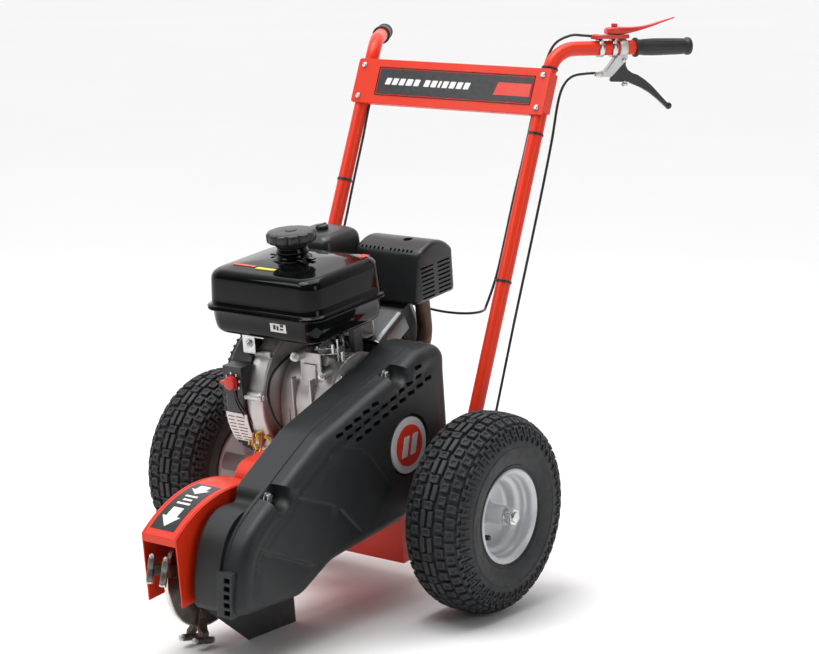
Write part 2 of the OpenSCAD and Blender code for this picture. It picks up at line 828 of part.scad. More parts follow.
module crankcase() {
    color(alloy) on_chassis() difference() {
        union() {
            block([-70, -132, deck_z + 0.1], [74, 72, deck_z + 12]);
            block([case_x0, -crank_reach - case_r, deck_z + 4], [case_x1, -crank_reach + case_r, crank_up]);
            bar_x(case_x0, case_x1, -crank_reach, crank_up, 2 * case_r);
            for (x = [-58, 44]) block([x, -86, crank_up + 60], [x + 14, -60, tank_low]);
        }
        bar_x(case_x0 + 8, case_x1 + 1, -crank_reach, crank_up, 2 * case_r - 24);
        bar_x(case_x0 - 1, case_x1, -crank_reach, crank_up, pto_d + 2 * run_gap);
        for (x = [-52, 30], y = [-112, 46])
            translate([x, y, deck_z - 1]) cylinder(d = 10, h = 14);
        translate([20, -crank_reach - case_r - 1, crank_up - 56]) rotate([-90, 0, 0]) cylinder(d = 20.2, h = 16);
    }
}

module side_cover() {
    color(alloy) on_crank() {
        difference() {
            union() {
                bar_x(case_x1 + 0.1, case_x1 + 10, 0, 0, 2 * case_r);
                bar_x(case_x1, case_x1 + 17, 0, 0, 56);
            }
            bar_x(case_x1 - 1, case_x1 + 18, 0, 0, pto_d + 2 * run_gap);
        }
        for (a = [15 : 60 : 345])
            rotate([a, 0, 0]) translate([0, case_r - 8, 0]) bar_x(case_x1 + 10, case_x1 + 15, 0, 0, 12);
    }
}

module crankshaft() {
    color(steel) on_crank() {
        bar_x(-158, 140, 0, 0, pto_d);
        for (x = [-36, 10]) translate([0, 0, -8]) bar_x(x, x + 16, 0, 0, 100);
        bar_x(-20.1, 10.1, 0, 34, 32);
    }
}

module flywheel() {
    color(steel) on_crank() {
        ring_x(-100, -84, 0, 0, 196, pto_d + 0.04);
        for (a = [0 : 30 : 330])
            rotate([a, 0, 0]) block([-118, 55, -2], [-99.9, 96, 2]);
        ring_x(-128, -118.1, 0, 0, 120, pto_d + 0.04);
    }
}

// Finned barrel, head and rocker cover, leaning back from the crankcase
cyl_lean = 25;
module on_cylinder() {
    on_crank() rotate([cyl_lean, 0, 0]) children();
}

module cylinder_block() {
    color(alloy) on_cylinder() {
        difference() {
            union() {
                block([-42, case_r + 0.5, -42], [50, 182, 42]);
                for (i = [0 : 8]) block([-52, 94 + 10 * i, -50], [60, 97 + 10 * i, 50]);
                block([-50, 182, -50], [58, 222, 50]);
            }
            translate([4, 60, 0]) rotate([-90, 0, 0]) cylinder(d = 70, h = 126);
        }
        translate([4, 0, 0]) hull() {
            block([-40, 222.1, -40], [40, 238, 40]);
            block([-32, 222.1, -32], [32, 252, 32]);
        }
        translate([40, 205, -50.1]) rotate([180, 0, 0]) {
            cylinder(d = 18, h = 14, $fn = 6);
            cylinder(d = 11, h = 34);
        }
    }
}

blower_outline = concat(
    [[66, 96], [150, 190], [150, 238], [62, 330]],
    arc(-crank_reach, 200, 145, 113, 225, 12)
);

module blower_housing() {
    color(dark) on_chassis() difference() {
        slab_x(-140, -72, blower_outline);
        slab_x(-138, -71, inset(blower_outline, 2));
        bar_x(-141, -137, -crank_reach, crank_up, 168);
    }
}

recoil_r = 92;
rope_up = 56;
module recoil_starter() {
    color(black) on_crank() difference() {
        union() {
            bar_x(-170, -140.1, 0, 0, 2 * recoil_r);
            bar_x(-174, -169, 0, 0, 90);
        }
        bar_x(-167, -140, 0, 0, 2 * recoil_r - 6);
        for (a = [0 : 30 : 330])
            rotate([a, 0, 0]) block([-171, 52, -5], [-166, 78, 5]);
        rotate([cyl_lean, 0, 0]) translate([-153, 0, rope_up]) rotate([-90, 0, 0]) cylinder(d = 9, h = 120);
    }
}

module starter_grip() {
    on_cylinder() translate([-153, 0, rope_up]) {
        color("ivory") rotate([-90, 0, 0]) translate([0, 0, -55]) cylinder(d = 5, h = 137);
        color(black) translate([0, 81, 0]) {
            rotate([-90, 0, 0]) cylinder(d = 16, h = 26);
            translate([0, 28, -38]) cylinder(d = 20, h = 76);
        }
    }
}

// ---------- fuel tank ----------

tank_x = -47;
tank_y = -60;
tank_z = 389;
tank_top = 470;
tank_low = 336;

// A rounded slice of the tank, drawn in by d on every side
module tank_slice(z, d, h) {
    half = [tank_w / 2 - d, tank_l / 2 - d];
    r = 34 - d / 2;
    translate([tank_x, tank_y, z]) for (x = [-1, 1], y = [-1, 1])
        translate([x * (half[0] - r), y * (half[1] - r), 0]) cylinder(r = r, h = h, $fn = 32);
}

module tank_upper() {
    color(black) on_chassis() difference() {
        union() {
            hull() {
                tank_slice(tank_z + 1.5, 5, 1);
                tank_slice(tank_top - 16, 9, 1);
                tank_slice(tank_top - 1, 28, 1);
            }
            hull() tank_slice(tank_z + 0.1, 0, 4);
            translate([tank_x, tank_y, tank_top - 2]) cylinder(d = 56, h = 26);
            translate([tank_x, tank_y, tank_top - 2]) cylinder(d = 74, h = 5);
        }
        hull() {
            tank_slice(tank_z - 1, 8, 2);
            tank_slice(tank_top - 18, 12, 1);
            tank_slice(tank_top - 3, 31, 1);
        }
        translate([tank_x, tank_y, tank_top - 10]) cylinder(d = 50, h = 40);
    }
}

module tank_lower() {
    color(black) on_chassis() difference() {
        union() {
            hull() {
                tank_slice(tank_z - 3, 6, 1);
                tank_slice(tank_low + 10, 11, 1);
                tank_slice(tank_low, 22, 1);
            }
            hull() tank_slice(tank_z - 4, 0, 4);
        }
        hull() {
            tank_slice(tank_z - 1, 9, 3);
            tank_slice(tank_low + 11, 14, 1);
            tank_slice(tank_low + 2, 24, 1);
        }
    }
}

module fuel_cap() {
    color(black) on_chassis() translate([tank_x, tank_y, tank_top + 24.4]) difference() {
        union() {
            translate([0, 0, 6]) cylinder(d = cap_d - 8, h = 24);
            for (a = [0 : 30 : 330])
                rotate([0, 0, a]) translate([cap_d / 2 - 9, 0, 8]) cylinder(d = 18, h = 20);
            cylinder(d = 66, h = 8);
        }
        translate([0, 0, -1]) cylinder(d = 46, h = 10);
    }
}

// ---------- intake and exhaust ----------

cleaner_x = -127;
cleaner_y = 119;
cleaner_z = 388;

// A cover tapering to a smaller top, drawn in by d on every side
module cleaner_cover(d, low) {
    hull() {
        block([cleaner_x - 52 + d, cleaner_y - 52 + d, low],
              [cleaner_x + 52 - d, cleaner_y + 52 - d, cleaner_z + 70 - d]);
        block([cleaner_x - 38 + d, cleaner_y - 36 + d, low],
              [cleaner_x + 38 - d, cleaner_y + 36 - d, cleaner_z + 88 - d]);
    }
}

module air_cleaner() {
    color(dark) on_chassis() {
        difference() {
            cleaner_cover(0, cleaner_z);
            cleaner_cover(3, cleaner_z - 1);
        }
        difference() {
            union() {
                block([cleaner_x - 50, cleaner_y - 50, cleaner_z - 4], [cleaner_x + 50, cleaner_y + 50, cleaner_z - 0.2]);
                block([cleaner_x, 92, cleaner_z - 4], [-64, 130, cleaner_z - 0.2]);
            }
            translate([carb_x, 112, cleaner_z - 5]) cylinder(d = 24, h = 6);
        }
        difference() {
            translate([cleaner_x, cleaner_y, cleaner_z]) cylinder(d = 84, h = 60);
            translate([cleaner_x, cleaner_y, cleaner_z - 1]) cylinder(d = 48, h = 62);
        }
        translate([cleaner_x, cleaner_y, cleaner_z - 0.1]) cylinder(d = 6, h = 94);
        translate([cleaner_x, cleaner_y, cleaner_z + 88.2]) cylinder(d = 26, h = 9);
    }
}

carb_x = -92;
module carburettor() {
    color(alloy) on_chassis() difference() {
        union() {
            block([carb_x - 22, 92, 330], [carb_x + 22, 140, 372]);
            translate([carb_x, 116, 300]) cylinder(d = 40, h = 30);
            translate([carb_x, 112, 372]) cylinder(d = 40, h = 12);
            block([carb_x + 22, 100, 330], [-50, 122, 366]);
        }
        translate([carb_x, 112, 350]) cylinder(d = 24, h = 35);
        translate([carb_x - 23, 104, 351]) rotate([0, 90, 0]) cylinder(d = 5.1, h = 46);
    }
    color(steel) on_chassis() {
        block([-30, 44, 300], [50, 47, 330]);
        block([-30, 20, 300], [50, 44, 303]);
    }
}

arm_at = [carb_x, 84, 350];
module throttle_arm() {
    color(steel) on_chassis() translate(arm_at) rotate([-90, 0, 0]) {
        cylinder(d = 5, h = 7.8);
        difference() {
            translate([-5, 0, 0]) cube([10, 34, 2]);
            translate([0, 28, -1]) cylinder(d = 3, h = 4);
        }
        cylinder(d = 12, h = 3);
    }
}

module choke_lever() {
    color(dark) on_chassis() translate([carb_x - 26.5, 104, 351]) rotate([0, 90, 0]) {
        cylinder(d = 5, h = 40);
        cylinder(d = 14, h = 3);
        translate([0, -5, 0]) cube([44, 10, 2.5]);
    }
}

shield_x = -62;
shield_outline = concat(
    [[126, 342], [250, 342], [250, 424]],
    arc(192, 380, 76, 40, 128, 8)
);

module muffler() {
    color(black) on_chassis() {
        difference() {
            slab_x(shield_x, 100, shield_outline);
            slab_x(shield_x + 2, 98, concat([[128, 341], [248, 341]], inset(shield_outline, 2)));
            for (row = [0 : 6], col = [0, 1])
                block([97, 142 + 52 * col, 352 + 9 * row], [101, 180 + 52 * col, 356 + 9 * row]);
        }
        difference() {
            slab_x(shield_x + 14, 88, inset(shield_outline, 12));
            slab_x(shield_x + 16, 86, inset(shield_outline, 14));
            translate([74, 172, 340]) cylinder(d = 24, h = 30);
        }
    }
    color("dimgray") on_chassis() {
        difference() {
            union() {
                translate([74, 172, 276]) cylinder(d = 30, h = 78);
                bar_x(58.3, 74, 172, 290, 30);
            }
            translate([74, 172, 280]) cylinder(d = 24, h = 80);
        }
    }
    color(dark) on_cylinder() {
        block([-30, 108, 52], [66, 178, 54]);
        block([64, 108, 20], [66, 178, 52]);
    }
}

// ---------- small engine fittings ----------

knob_at = [-112, -194, 252];
module switch_box() {
    color(dark) on_chassis() difference() {
        block([-136, -188, 226], [-90, -140, 282]);
        slab_x(-141, -71, blower_outline);
        translate([knob_at[0], -189, knob_at[2]]) rotate([-90, 0, 0]) cylinder(d = 8.1, h = 13);
    }
}

module switch_knob() {
    color("red") on_chassis() translate(knob_at) rotate([-90, 0, 0]) {
        cylinder(d = 8, h = 16);
        translate([0, 0, -10]) cylinder(d = 27, h = 14);
        translate([-24, -4, -8]) cube([24, 8, 10]);
    }
}

module oil_cap() {
    color(dark) on_chassis() translate([20, -crank_reach - case_r, crank_up - 56]) rotate([90, 0, 0]) {
        translate([0, 0, -13]) cylinder(d = 20, h = 14);
        translate([0, 0, 0.3]) cylinder(d = 32, h = 10);
        translate([-14, -3, 10]) cube([28, 6, 8]);
    }
}

frame();
boom();
cutter_hood();
belt_pan();
axle();
axle_nuts();
tyre(1);  // tyre_left
tyre(-1);  // tyre_right
rim(1);  // rim_left
rim(-1);  // rim_right
hub_bushes(1);  // hub_bushes_left
hub_bushes(-1);  // hub_bushes_right
brake_drum();
brake_shoe();
shoe_guide();
handle(1);  // handle_left
handle(-1);  // handle_right
handle_panel();
badges();
handle_bolts();
grip(1);  // grip_left
grip(-1);  // grip_right
throttle_housing();
throttle_lever();
brake_bracket();
brake_lever();
lock_button();
throttle_cable();
brake_cable();
cable_ties();
cutter_shaft();
cutter_disc();
teeth();
tooth_nuts();
cutter_bearings();
driven_pulley();
drive_belt();
clutch_pulley();
guard_inner();
guard_cover();
guard_bolts();
crankcase();
side_cover();
crankshaft();
flywheel();
cylinder_block();  // cylinder
blower_housing();
recoil_starter();
starter_grip();
tank_lower();
tank_upper();
fuel_cap();
air_cleaner();
carburettor();
throttle_arm();
choke_lever();
muffler();
switch_box();
switch_knob();
oil_cap();
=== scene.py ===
import json
import math
import random

import bmesh
import bpy
from mathutils import Matrix, Vector
from mathutils.geometry import delaunay_2d_cdt


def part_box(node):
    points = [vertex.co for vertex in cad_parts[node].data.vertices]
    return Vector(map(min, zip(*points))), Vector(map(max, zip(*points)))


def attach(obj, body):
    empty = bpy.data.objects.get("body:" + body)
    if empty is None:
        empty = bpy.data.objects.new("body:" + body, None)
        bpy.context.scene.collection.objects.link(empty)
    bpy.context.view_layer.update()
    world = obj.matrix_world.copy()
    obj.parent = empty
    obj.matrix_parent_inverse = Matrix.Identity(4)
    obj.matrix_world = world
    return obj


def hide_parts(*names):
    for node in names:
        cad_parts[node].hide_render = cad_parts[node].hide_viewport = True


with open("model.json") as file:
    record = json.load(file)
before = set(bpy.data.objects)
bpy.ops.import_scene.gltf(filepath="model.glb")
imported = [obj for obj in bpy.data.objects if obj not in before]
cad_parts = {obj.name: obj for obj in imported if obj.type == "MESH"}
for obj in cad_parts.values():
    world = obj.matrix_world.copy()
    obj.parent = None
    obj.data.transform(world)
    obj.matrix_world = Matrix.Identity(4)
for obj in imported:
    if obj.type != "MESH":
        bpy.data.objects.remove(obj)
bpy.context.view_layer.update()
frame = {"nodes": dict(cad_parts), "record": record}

random.seed(7)

# ---------- frames: pieces are drawn in the millimetres of a frame on the chassis, as in the CAD ----------

MM = 0.001
PITCH = math.radians(6.5)
TUBE_LEAN = math.radians(27.4)
POST_FOOT = (0, 52.4, 0)
POST_LEN, BAR_LEN = 889, 171
TUBE_X, TUBE_D = 220, 28.6
ACROSS, UPWARD = Vector((0, 1, 0)), Vector((0, 0, 1))


def middle(node):
    low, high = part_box(node)
    return (low + high) / 2


CHASSIS = Matrix.Translation(middle("axle")) @ Matrix.Rotation(PITCH, 4, "X") @ Matrix.Scale(MM, 4)
CRANK_AT, CUTTER_AT = (-30, 198), (-462, 0)
CYLINDER_LEAN = math.radians(25)
CRANK = CHASSIS @ Matrix.Translation((0, *CRANK_AT))
CYLINDER = CRANK @ Matrix.Rotation(CYLINDER_LEAN, 4, "X")
CUTTER = CHASSIS @ Matrix.Translation((0, *CUTTER_AT))
CUTTER_X = 31
GRIP_SPLAY = math.radians(34)
BAR_WAY = Vector((math.sin(GRIP_SPLAY), math.cos(GRIP_SPLAY) * math.cos(PITCH),
                  -math.cos(GRIP_SPLAY) * math.sin(PITCH)))
POST_WAY = Vector((0, math.sin(TUBE_LEAN), math.cos(TUBE_LEAN)))
CORNER = Vector((TUBE_X, POST_FOOT[1], POST_FOOT[2])) + POST_LEN * POST_WAY
MIRROR = Matrix.Scale(-1, 4, (1, 0, 0))


def post(up):
    """Frame on the handle posts: Z runs up the tube, from `up` millimetres above the axle."""
    return CHASSIS @ Matrix.Translation(POST_FOOT) @ Matrix.Rotation(-TUBE_LEAN, 4, "X") \
        @ Matrix.Translation((0, 0, up))


def columns(x, y, z, at):
    """The frame with these three axes at this place."""
    return Matrix(((x[0], y[0], z[0], at[0]), (x[1], y[1], z[1], at[1]), (x[2], y[2], z[2], at[2]),
                   (0, 0, 0, 1)))


UP = Vector((0, math.sin(PITCH), math.cos(PITCH)))
ON_BAR = CHASSIS @ columns(BAR_WAY, UP.cross(BAR_WAY), UP, CORNER + BAR_LEN * BAR_WAY)


def along_bar(side):
    """Frame with Z along a bar from its corner."""
    u = (POST_WAY - POST_WAY.dot(BAR_WAY) * BAR_WAY).normalized()
    m = columns(u, BAR_WAY.cross(u), BAR_WAY, CORNER)
    return CHASSIS @ (MIRROR if side < 0 else Matrix.Identity(4)) @ m


# ---------- mesh building ----------


def add_loops(bm, rings, ends=True):
    """Skins a list of rings of points, each ring with the same number of points."""
    made = [[bm.verts.new(p) for p in ring] for ring in rings]
    n = len(made[0])
    for a, b in zip(made, made[1:]):
        for i in range(n):
            j = (i + 1) % n
            bm.faces.new((a[i], a[j], b[j], b[i]))
    if ends:
        bm.faces.new(made[0][::-1])
        bm.faces.new(made[-1])
    return made


def prism(bm, outline, x0, x1):
    """An outline of (y, z) points, thick along X."""
    add_loops(bm, [[(x0, y, z) for y, z in outline], [(x1, y, z) for y, z in outline]])


def flat(bm, outline, z0, z1):
    """An outline of (x, y) points, thick along Z."""
    add_loops(bm, [[(x, y, z) for x, y in outline] for z in (z0, z1)])


def slab(bm, outline, y0, y1):
    """An outline of (x, z) points, thick along Y."""
    add_loops(bm, [[(x, y, z) for x, z in outline] for y in (y0, y1)])


def corners(low, high):
    """A rectangle's four corners, anticlockwise."""
    return [(low[0], low[1]), (high[0], low[1]), (high[0], high[1]), (low[0], high[1])]


def box(bm, low, high):
    flat(bm, corners(low, high), low[2], high[2])


def circle_points(at, u, v, r, n, turn=0):
    """A ring of n points round `at`, the first one `turn` degrees from u towards v."""
    angles = [math.radians(turn + 360 * i / n) for i in range(n)]
    return [at + r * (math.cos(a) * u + math.sin(a) * v) for a in angles]


def side_axes(way):
    u = way.orthogonal().normalized()
    return u, way.cross(u)


def rod(bm, start, end, r, n=24, r_end=None):
    start, end = Vector(start), Vector(end)
    u, v = side_axes((end - start).normalized())
    add_loops(bm, [circle_points(start, u, v, r, n),
                   circle_points(end, u, v, r if r_end is None else r_end, n)])


def turned(bm, outline, axis="X", n=64, at=(0, 0, 0)):
    """Revolves (radius, along) points about X, Y or Z through `at`.

    The outline closes on itself, unless it starts and ends on the axis.
    """
    closed = max(outline[0][0], outline[-1][0]) > 0.001
    x, y, z = Matrix.Identity(3)
    u, v, w = {"X": (y, z, x), "Y": (z, x, y), "Z": (x, y, z)}[axis]
    made = []
    for i in range(n):
        a = 2 * math.pi * i / n
        out = math.cos(a) * u + math.sin(a) * v
        made.append([bm.verts.new(Vector(at) + r * out + t * w) for r, t in outline])
    for a, b in zip(made, made[1:] + made[:1]):
        for k in range(len(outline) if closed else len(outline) - 1):
            m = (k + 1) % len(outline)
            bm.faces.new((a[k], a[m], b[m], b[k]))


def smooth_path(points, step):
    """Points about `step` apart on a smooth curve through the given ones."""
    points = [Vector(p) for p in points]
    ends = [2 * points[0] - points[1], *points, 2 * points[-1] - points[-2]]
    path = []
    for a, b, c, d in zip(ends, ends[1:], ends[2:], ends[3:]):
        n = max(2, round((c - b).length / step))
        for i in range(n):
            t = i / n
            path.append(0.5 * (2 * b + (c - a) * t + (2 * a - 5 * b + 4 * c - d) * t * t
                               + (3 * b - a - 3 * c + d) * t ** 3))
    return path + [points[-1]]


def hose(bm, points, r, n=12, step=6):
    """A round tube swept along a smooth curve, its rings carried without twist."""
    path = smooth_path(points, step)
    ways = [(path[min(i + 1, len(path) - 1)] - path[max(i - 1, 0)]).normalized() for i in range(len(path))]
    u = ways[0].orthogonal().normalized()
    rings = []
    for at, way in zip(path, ways):
        u = (u - u.dot(way) * way).normalized()
        rings.append(circle_points(at, u, way.cross(u), r, n))
    add_loops(bm, rings)


def arc(cy, cz, r, start, end, steps):
    angles = [math.radians(start + (end - start) * i / steps) for i in range(steps + 1)]
    return [(cy + r * math.cos(a), cz + r * math.sin(a)) for a in angles]


def inset(outline, d):
    """Moves each side of a closed anticlockwise outline inwards by d."""
    n, moved = len(outline), []
    for i in range(n):
        p, a, b = (Vector(outline[k % n]) for k in (i, i - 1, i + 1))
        u, v = (p - a).normalized(), (b - p).normalized()
        side = Vector((-u.y, u.x)) + Vector((-v.y, v.x))
        moved.append(tuple(p + side * 2 * d / side.dot(side)))
    return moved


def rounded(outline, r, steps=5):
    """Rounds each corner of a closed outline with a curve that starts r before it."""
    n, made = len(outline), []
    for i in range(n):
        p, a, b = (Vector(outline[k % n]) for k in (i, i - 1, i + 1))
        back, on = a - p, b - p
        start = p + back.normalized() * min(r, back.length * 0.48)
        stop = p + on.normalized() * min(r, on.length * 0.48)
        for k in range(steps + 1):
            t = k / steps
            made.append(tuple((1 - t) ** 2 * start + 2 * t * (1 - t) * p + t * t * stop))
    return made


def round_rect(at, half, r, z, n):
    """A rounded rectangle's points at height z, n of them to a corner."""
    points = []
    for sx, sy, start in ((1, 1, 0), (-1, 1, 90), (-1, -1, 180), (1, -1, 270)):
        points += arc(at[0] + sx * (half[0] - r), at[1] + sy * (half[1] - r), r, start, start + 90, n - 1)
    return [(x, y, z) for x, y in points]


# ---------- making objects ----------

WELD_WITHIN = 0.00002
FLAT_WITHIN = math.radians(1.2)


def add_object(name, data):
    obj = bpy.data.objects.new(name, data)
    bpy.context.scene.collection.objects.link(obj)
    return obj


def drawn(name, draw, where):
    """A new object with what draw(bm) makes in the millimetres of the frame `where`."""
    bm = bmesh.new()
    draw(bm)
    bmesh.ops.transform(bm, matrix=where, verts=bm.verts)
    bmesh.ops.recalc_face_normals(bm, faces=bm.faces)
    mesh = bpy.data.meshes.new(name)
    bm.to_mesh(mesh)
    bm.free()
    return add_object(name, mesh)


def piece(name, draw, finish, where=CHASSIS, body="chassis", bevel=0, segments=2, replaces=(),
          angle=35, cut=()):
    """One visible object: drawn, carved by each cutter in turn, edged, and tied to its body."""
    obj = drawn(name, draw, where)
    for cutter in cut:
        carve(obj, cutter, where)
    finish_piece(obj, finish, bevel, segments, angle)
    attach(obj, body)
    if replaces:
        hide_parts(*replaces)


def carve(obj, cutter, where):
    """Cuts the solids that cutter(bm) draws out of the object. They must not overlap one another."""
    tool = drawn("cutter", cutter, where)
    boolean = obj.modifiers.new("cut", "BOOLEAN")
    boolean.operation = "DIFFERENCE"
    boolean.solver = "EXACT"
    boolean.object = tool
    graph = bpy.context.evaluated_depsgraph_get()
    result = bpy.data.meshes.new_from_object(obj.evaluated_get(graph))
    obj.modifiers.clear()
    obj.data = result
    bpy.data.objects.remove(tool)


def finish_piece(obj, finish, bevel, segments, angle):
    """Material, smooth shading with sharp edges kept, and bevelled edges with even normals."""
    mesh = obj.data
    mesh.materials.clear()
    mesh.materials.append(finish)
    for face in mesh.polygons:
        face.use_smooth = True
        face.material_index = 0
    if bevel:
        edge = obj.modifiers.new("edges", "BEVEL")
        edge.width = bevel * MM
        edge.segments = segments
        edge.limit_method = "ANGLE"
        edge.angle_limit = math.radians(angle)
    mesh.set_sharp_from_angle(angle=math.radians(angle))
    if bevel:
        obj.modifiers.new("normals", "WEIGHTED_NORMAL").keep_sharp = True


SOFT_SEGMENTS, SOFT_ANGLE = 2, 32


def softened(node, finish, bevel, body):
    """A copy of a CAD node with rounded edges, shown in its place."""
    mesh = frame["nodes"][node].data.copy()
    bm = bmesh.new()
    bm.from_mesh(mesh)
    bmesh.ops.remove_doubles(bm, verts=bm.verts, dist=WELD_WITHIN)
    bmesh.ops.dissolve_limit(bm, angle_limit=FLAT_WITHIN, verts=bm.verts, edges=bm.edges)
    bm.to_mesh(mesh)
    bm.free()
    obj = add_object(node + "_edged", mesh)
    finish_piece(obj, finish, bevel, SOFT_SEGMENTS, SOFT_ANGLE)
    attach(obj, body)
    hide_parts(node)


# ---------- materials ----------


def remap(tree, source, start, stop, low, high):
    """Maps start..stop of a socket to low..high."""
    node = tree.nodes.new("ShaderNodeMapRange")
    for socket, value in (("From Min", start), ("From Max", stop), ("To Min", low), ("To Max", high)):
        node.inputs[socket].default_value = value
    tree.links.new(source, node.inputs["Value"])
    return node.outputs["Result"]


NOISE_RANGE = (0.3, 0.7)
WORN_EDGE = (0.53, 0.62)
COAT_ROUGH, GRAIN_DEPTH = 0.06, 0.0006


def material(name, colour, rough, metal=0.0, coat=0.0, spec=0.5, grain=(900, 0.05), mottle=(14, 0.12),
             scuff=None, rough_spread=0.12):
    """A procedural finish: mottled colour, uneven roughness, grain in the bump and lightly worn edges.

    grain and mottle are (scale, amount), and scuff is (colour, strength).
    that pieces in this finish usually fill.
    """
    m = bpy.data.materials.new(name)
    m.use_nodes = True
    tree = m.node_tree
    nodes, links = tree.nodes, tree.links
    shader = nodes["Principled BSDF"]
    for socket, value in (("Metallic", metal), ("Specular IOR Level", spec), ("Coat Weight", coat),
                          ("Coat Roughness", COAT_ROUGH)):
        shader.inputs[socket].default_value = value
    where = nodes.new("ShaderNodeTexCoord")

    def noise(scale, detail):
        n = nodes.new("ShaderNodeTexNoise")
        n.inputs["Scale"].default_value = scale
        n.inputs["Detail"].default_value = detail
        links.new(where.outputs["Object"], n.inputs["Vector"])
        return n.outputs["Fac"]

    def spread(source, low, high):
        return remap(tree, source, *NOISE_RANGE, low, high)

    def mix(factor, a, b):
        x = nodes.new("ShaderNodeMix")
        x.data_type = "RGBA"
        links.new(factor, x.inputs["Factor"])
        for socket, value in ((x.inputs["A"], a), (x.inputs["B"], b)):
            if hasattr(value, "links"):
                links.new(value, socket)
            else:
                socket.default_value = (*value, 1)
        return x.outputs["Result"]

    scale, amount = mottle
    dim = tuple(c * (1 - amount) for c in colour)
    lit = tuple(min(1, c * (1 + amount)) for c in colour)
    shade = mix(spread(noise(scale, 6), 0, 1), dim, lit)
    if scuff:
        tone, strength = scuff
        pointy = nodes.new("ShaderNodeNewGeometry").outputs["Pointiness"]
        broken = nodes.new("ShaderNodeMath")
        broken.operation = "MULTIPLY"
        links.new(remap(tree, pointy, *WORN_EDGE, 0, strength), broken.inputs[0])
        links.new(spread(noise(90, 3), 0, 1), broken.inputs[1])
        shade = mix(broken.outputs["Value"], shade, tone)
    links.new(shade, shader.inputs["Base Color"])
    uneven = spread(noise(scale * 3.1, 5), rough * (1 - rough_spread), min(1, rough * (1 + rough_spread)))
    links.new(uneven, shader.inputs["Roughness"])
    bump = nodes.new("ShaderNodeBump")
    bump.inputs["Strength"].default_value = grain[1]
    bump.inputs["Distance"].default_value = GRAIN_DEPTH
    links.new(noise(grain[0], 2), bump.inputs["Height"])
    links.new(bump.outputs["Normal"], shader.inputs["Normal"])
    return m


RED = material("red_powder_coat", (0.74, 0.030, 0.006), 0.38, coat=0.04, spec=0.36,
               grain=(700, 0.10), mottle=(9, 0.05),
               scuff=((0.75, 0.09, 0.035), 0.4))
BLACK_GLOSS = material("black_enamel", (0.0025, 0.0028, 0.003), 0.07, spec=0.2,
                       grain=(220, 0.012),
                       mottle=(8, 0.2), rough_spread=0.25)
BLACK_PAINT = material("black_satin_paint", (0.016, 0.017, 0.018), 0.36, grain=(500, 0.06),
                       mottle=(10, 0.2))
PLASTIC = material("grained_black_plastic", (0.0148, 0.0165, 0.018), 0.44, spec=0.36,
                   grain=(1500, 0.22), mottle=(7, 0.1),
                   scuff=((0.06, 0.063, 0.066), 0.5))
PLASTIC_SMOOTH = material("smooth_black_plastic", (0.017, 0.018, 0.020), 0.35,
                          grain=(1100, 0.10),
                          mottle=(12, 0.15), scuff=((0.05, 0.05, 0.055), 0.4))
PAN = material("pan_paint", (0.022, 0.024, 0.026), 0.42, grain=(420, 0.12), mottle=(11, 0.2),
               scuff=((0.16, 0.15, 0.14), 0.6))
RUBBER = material("tyre_rubber", (0.018, 0.019, 0.021), 0.62, spec=0.45, grain=(420, 0.3),
                  mottle=(20, 0.25),
                  scuff=((0.045, 0.046, 0.05), 0.8))
GRIP_RUBBER = material("grip_rubber", (0.014, 0.015, 0.016), 0.52, grain=(900, 0.2),
                       mottle=(30, 0.2))
CABLE = material("cable_jacket", (0.012, 0.012, 0.013), 0.4, grain=(600, 0.08),
                 mottle=(40, 0.2))
BADGE_SILVER = material("badge_silver", (0.70, 0.70, 0.71), 0.4, metal=0.15,
                        grain=(900, 0.05), mottle=(20, 0.04))
SILVER = material("silver_wheel_paint", (0.62, 0.63, 0.65), 0.36, metal=0.25,
                  grain=(1300, 0.12),
                  mottle=(16, 0.06))
ZINC = material("zinc_plate", (0.60, 0.60, 0.60), 0.28, metal=1.0, grain=(800, 0.06),
                mottle=(60, 0.12))
CAST = material("cast_alloy", (0.60, 0.60, 0.59), 0.46, metal=0.72, grain=(650, 0.35),
                mottle=(18, 0.10),
                scuff=((0.75, 0.75, 0.74), 0.5))
# Cast alloy with painted shade: a darker copy of the cast alloy, for the cylinder and the tank posts, which
# sit in shade under the tank.
CAST_PAINTED_SHADE = material("cast_alloy_painted_shade", (0.10, 0.10, 0.10), 0.5, metal=0.5, grain=(650, 0.3),
                     mottle=(18, 0.2))
SHIELD_SHEET = material("shield_sheet", (0.17, 0.175, 0.18), 0.24, metal=0.8,
                        grain=(300, 0.05), mottle=(12, 0.15))
DARK_STEEL = material("dark_steel", (0.16, 0.145, 0.135), 0.42, metal=0.9, grain=(300, 0.25),
                      mottle=(35, 0.3),
                      scuff=((0.4, 0.38, 0.36), 0.6))
BROWN_STEEL = material("heat_browned_steel", (0.12, 0.075, 0.055), 0.5, metal=0.75,
                       grain=(260, 0.3),
                       mottle=(30, 0.35), scuff=((0.35, 0.30, 0.27), 0.5))
BRIGHT_STEEL = material("ground_steel", (0.66, 0.63, 0.57), 0.26, metal=1.0,
                        grain=(500, 0.12), mottle=(50, 0.15))
BRONZE = material("sintered_bronze", (0.42, 0.27, 0.10), 0.45, metal=1.0, grain=(900, 0.2),
                  mottle=(60, 0.2))
RED_PLASTIC = material("red_moulding", (0.60, 0.028, 0.022), 0.32, grain=(1200, 0.08),
                       mottle=(20, 0.06))
WHITE = material("white_film", (0.80, 0.80, 0.79), 0.42, grain=(300, 0.03), mottle=(20, 0.03))
DECAL_BLACK = material("black_film", (0.012, 0.013, 0.014), 0.28, grain=(300, 0.03),
                       mottle=(20, 0.15))
DECAL_RED = material("red_film", (0.72, 0.035, 0.015), 0.3, grain=(300, 0.03),
                     mottle=(14, 0.06))
YELLOW = material("yellow_film", (0.80, 0.70, 0.04), 0.35, grain=(300, 0.03),
                  mottle=(20, 0.06))
GREEN = material("green_film", (0.16, 0.58, 0.10), 0.4, grain=(300, 0.05), mottle=(20, 0.1))
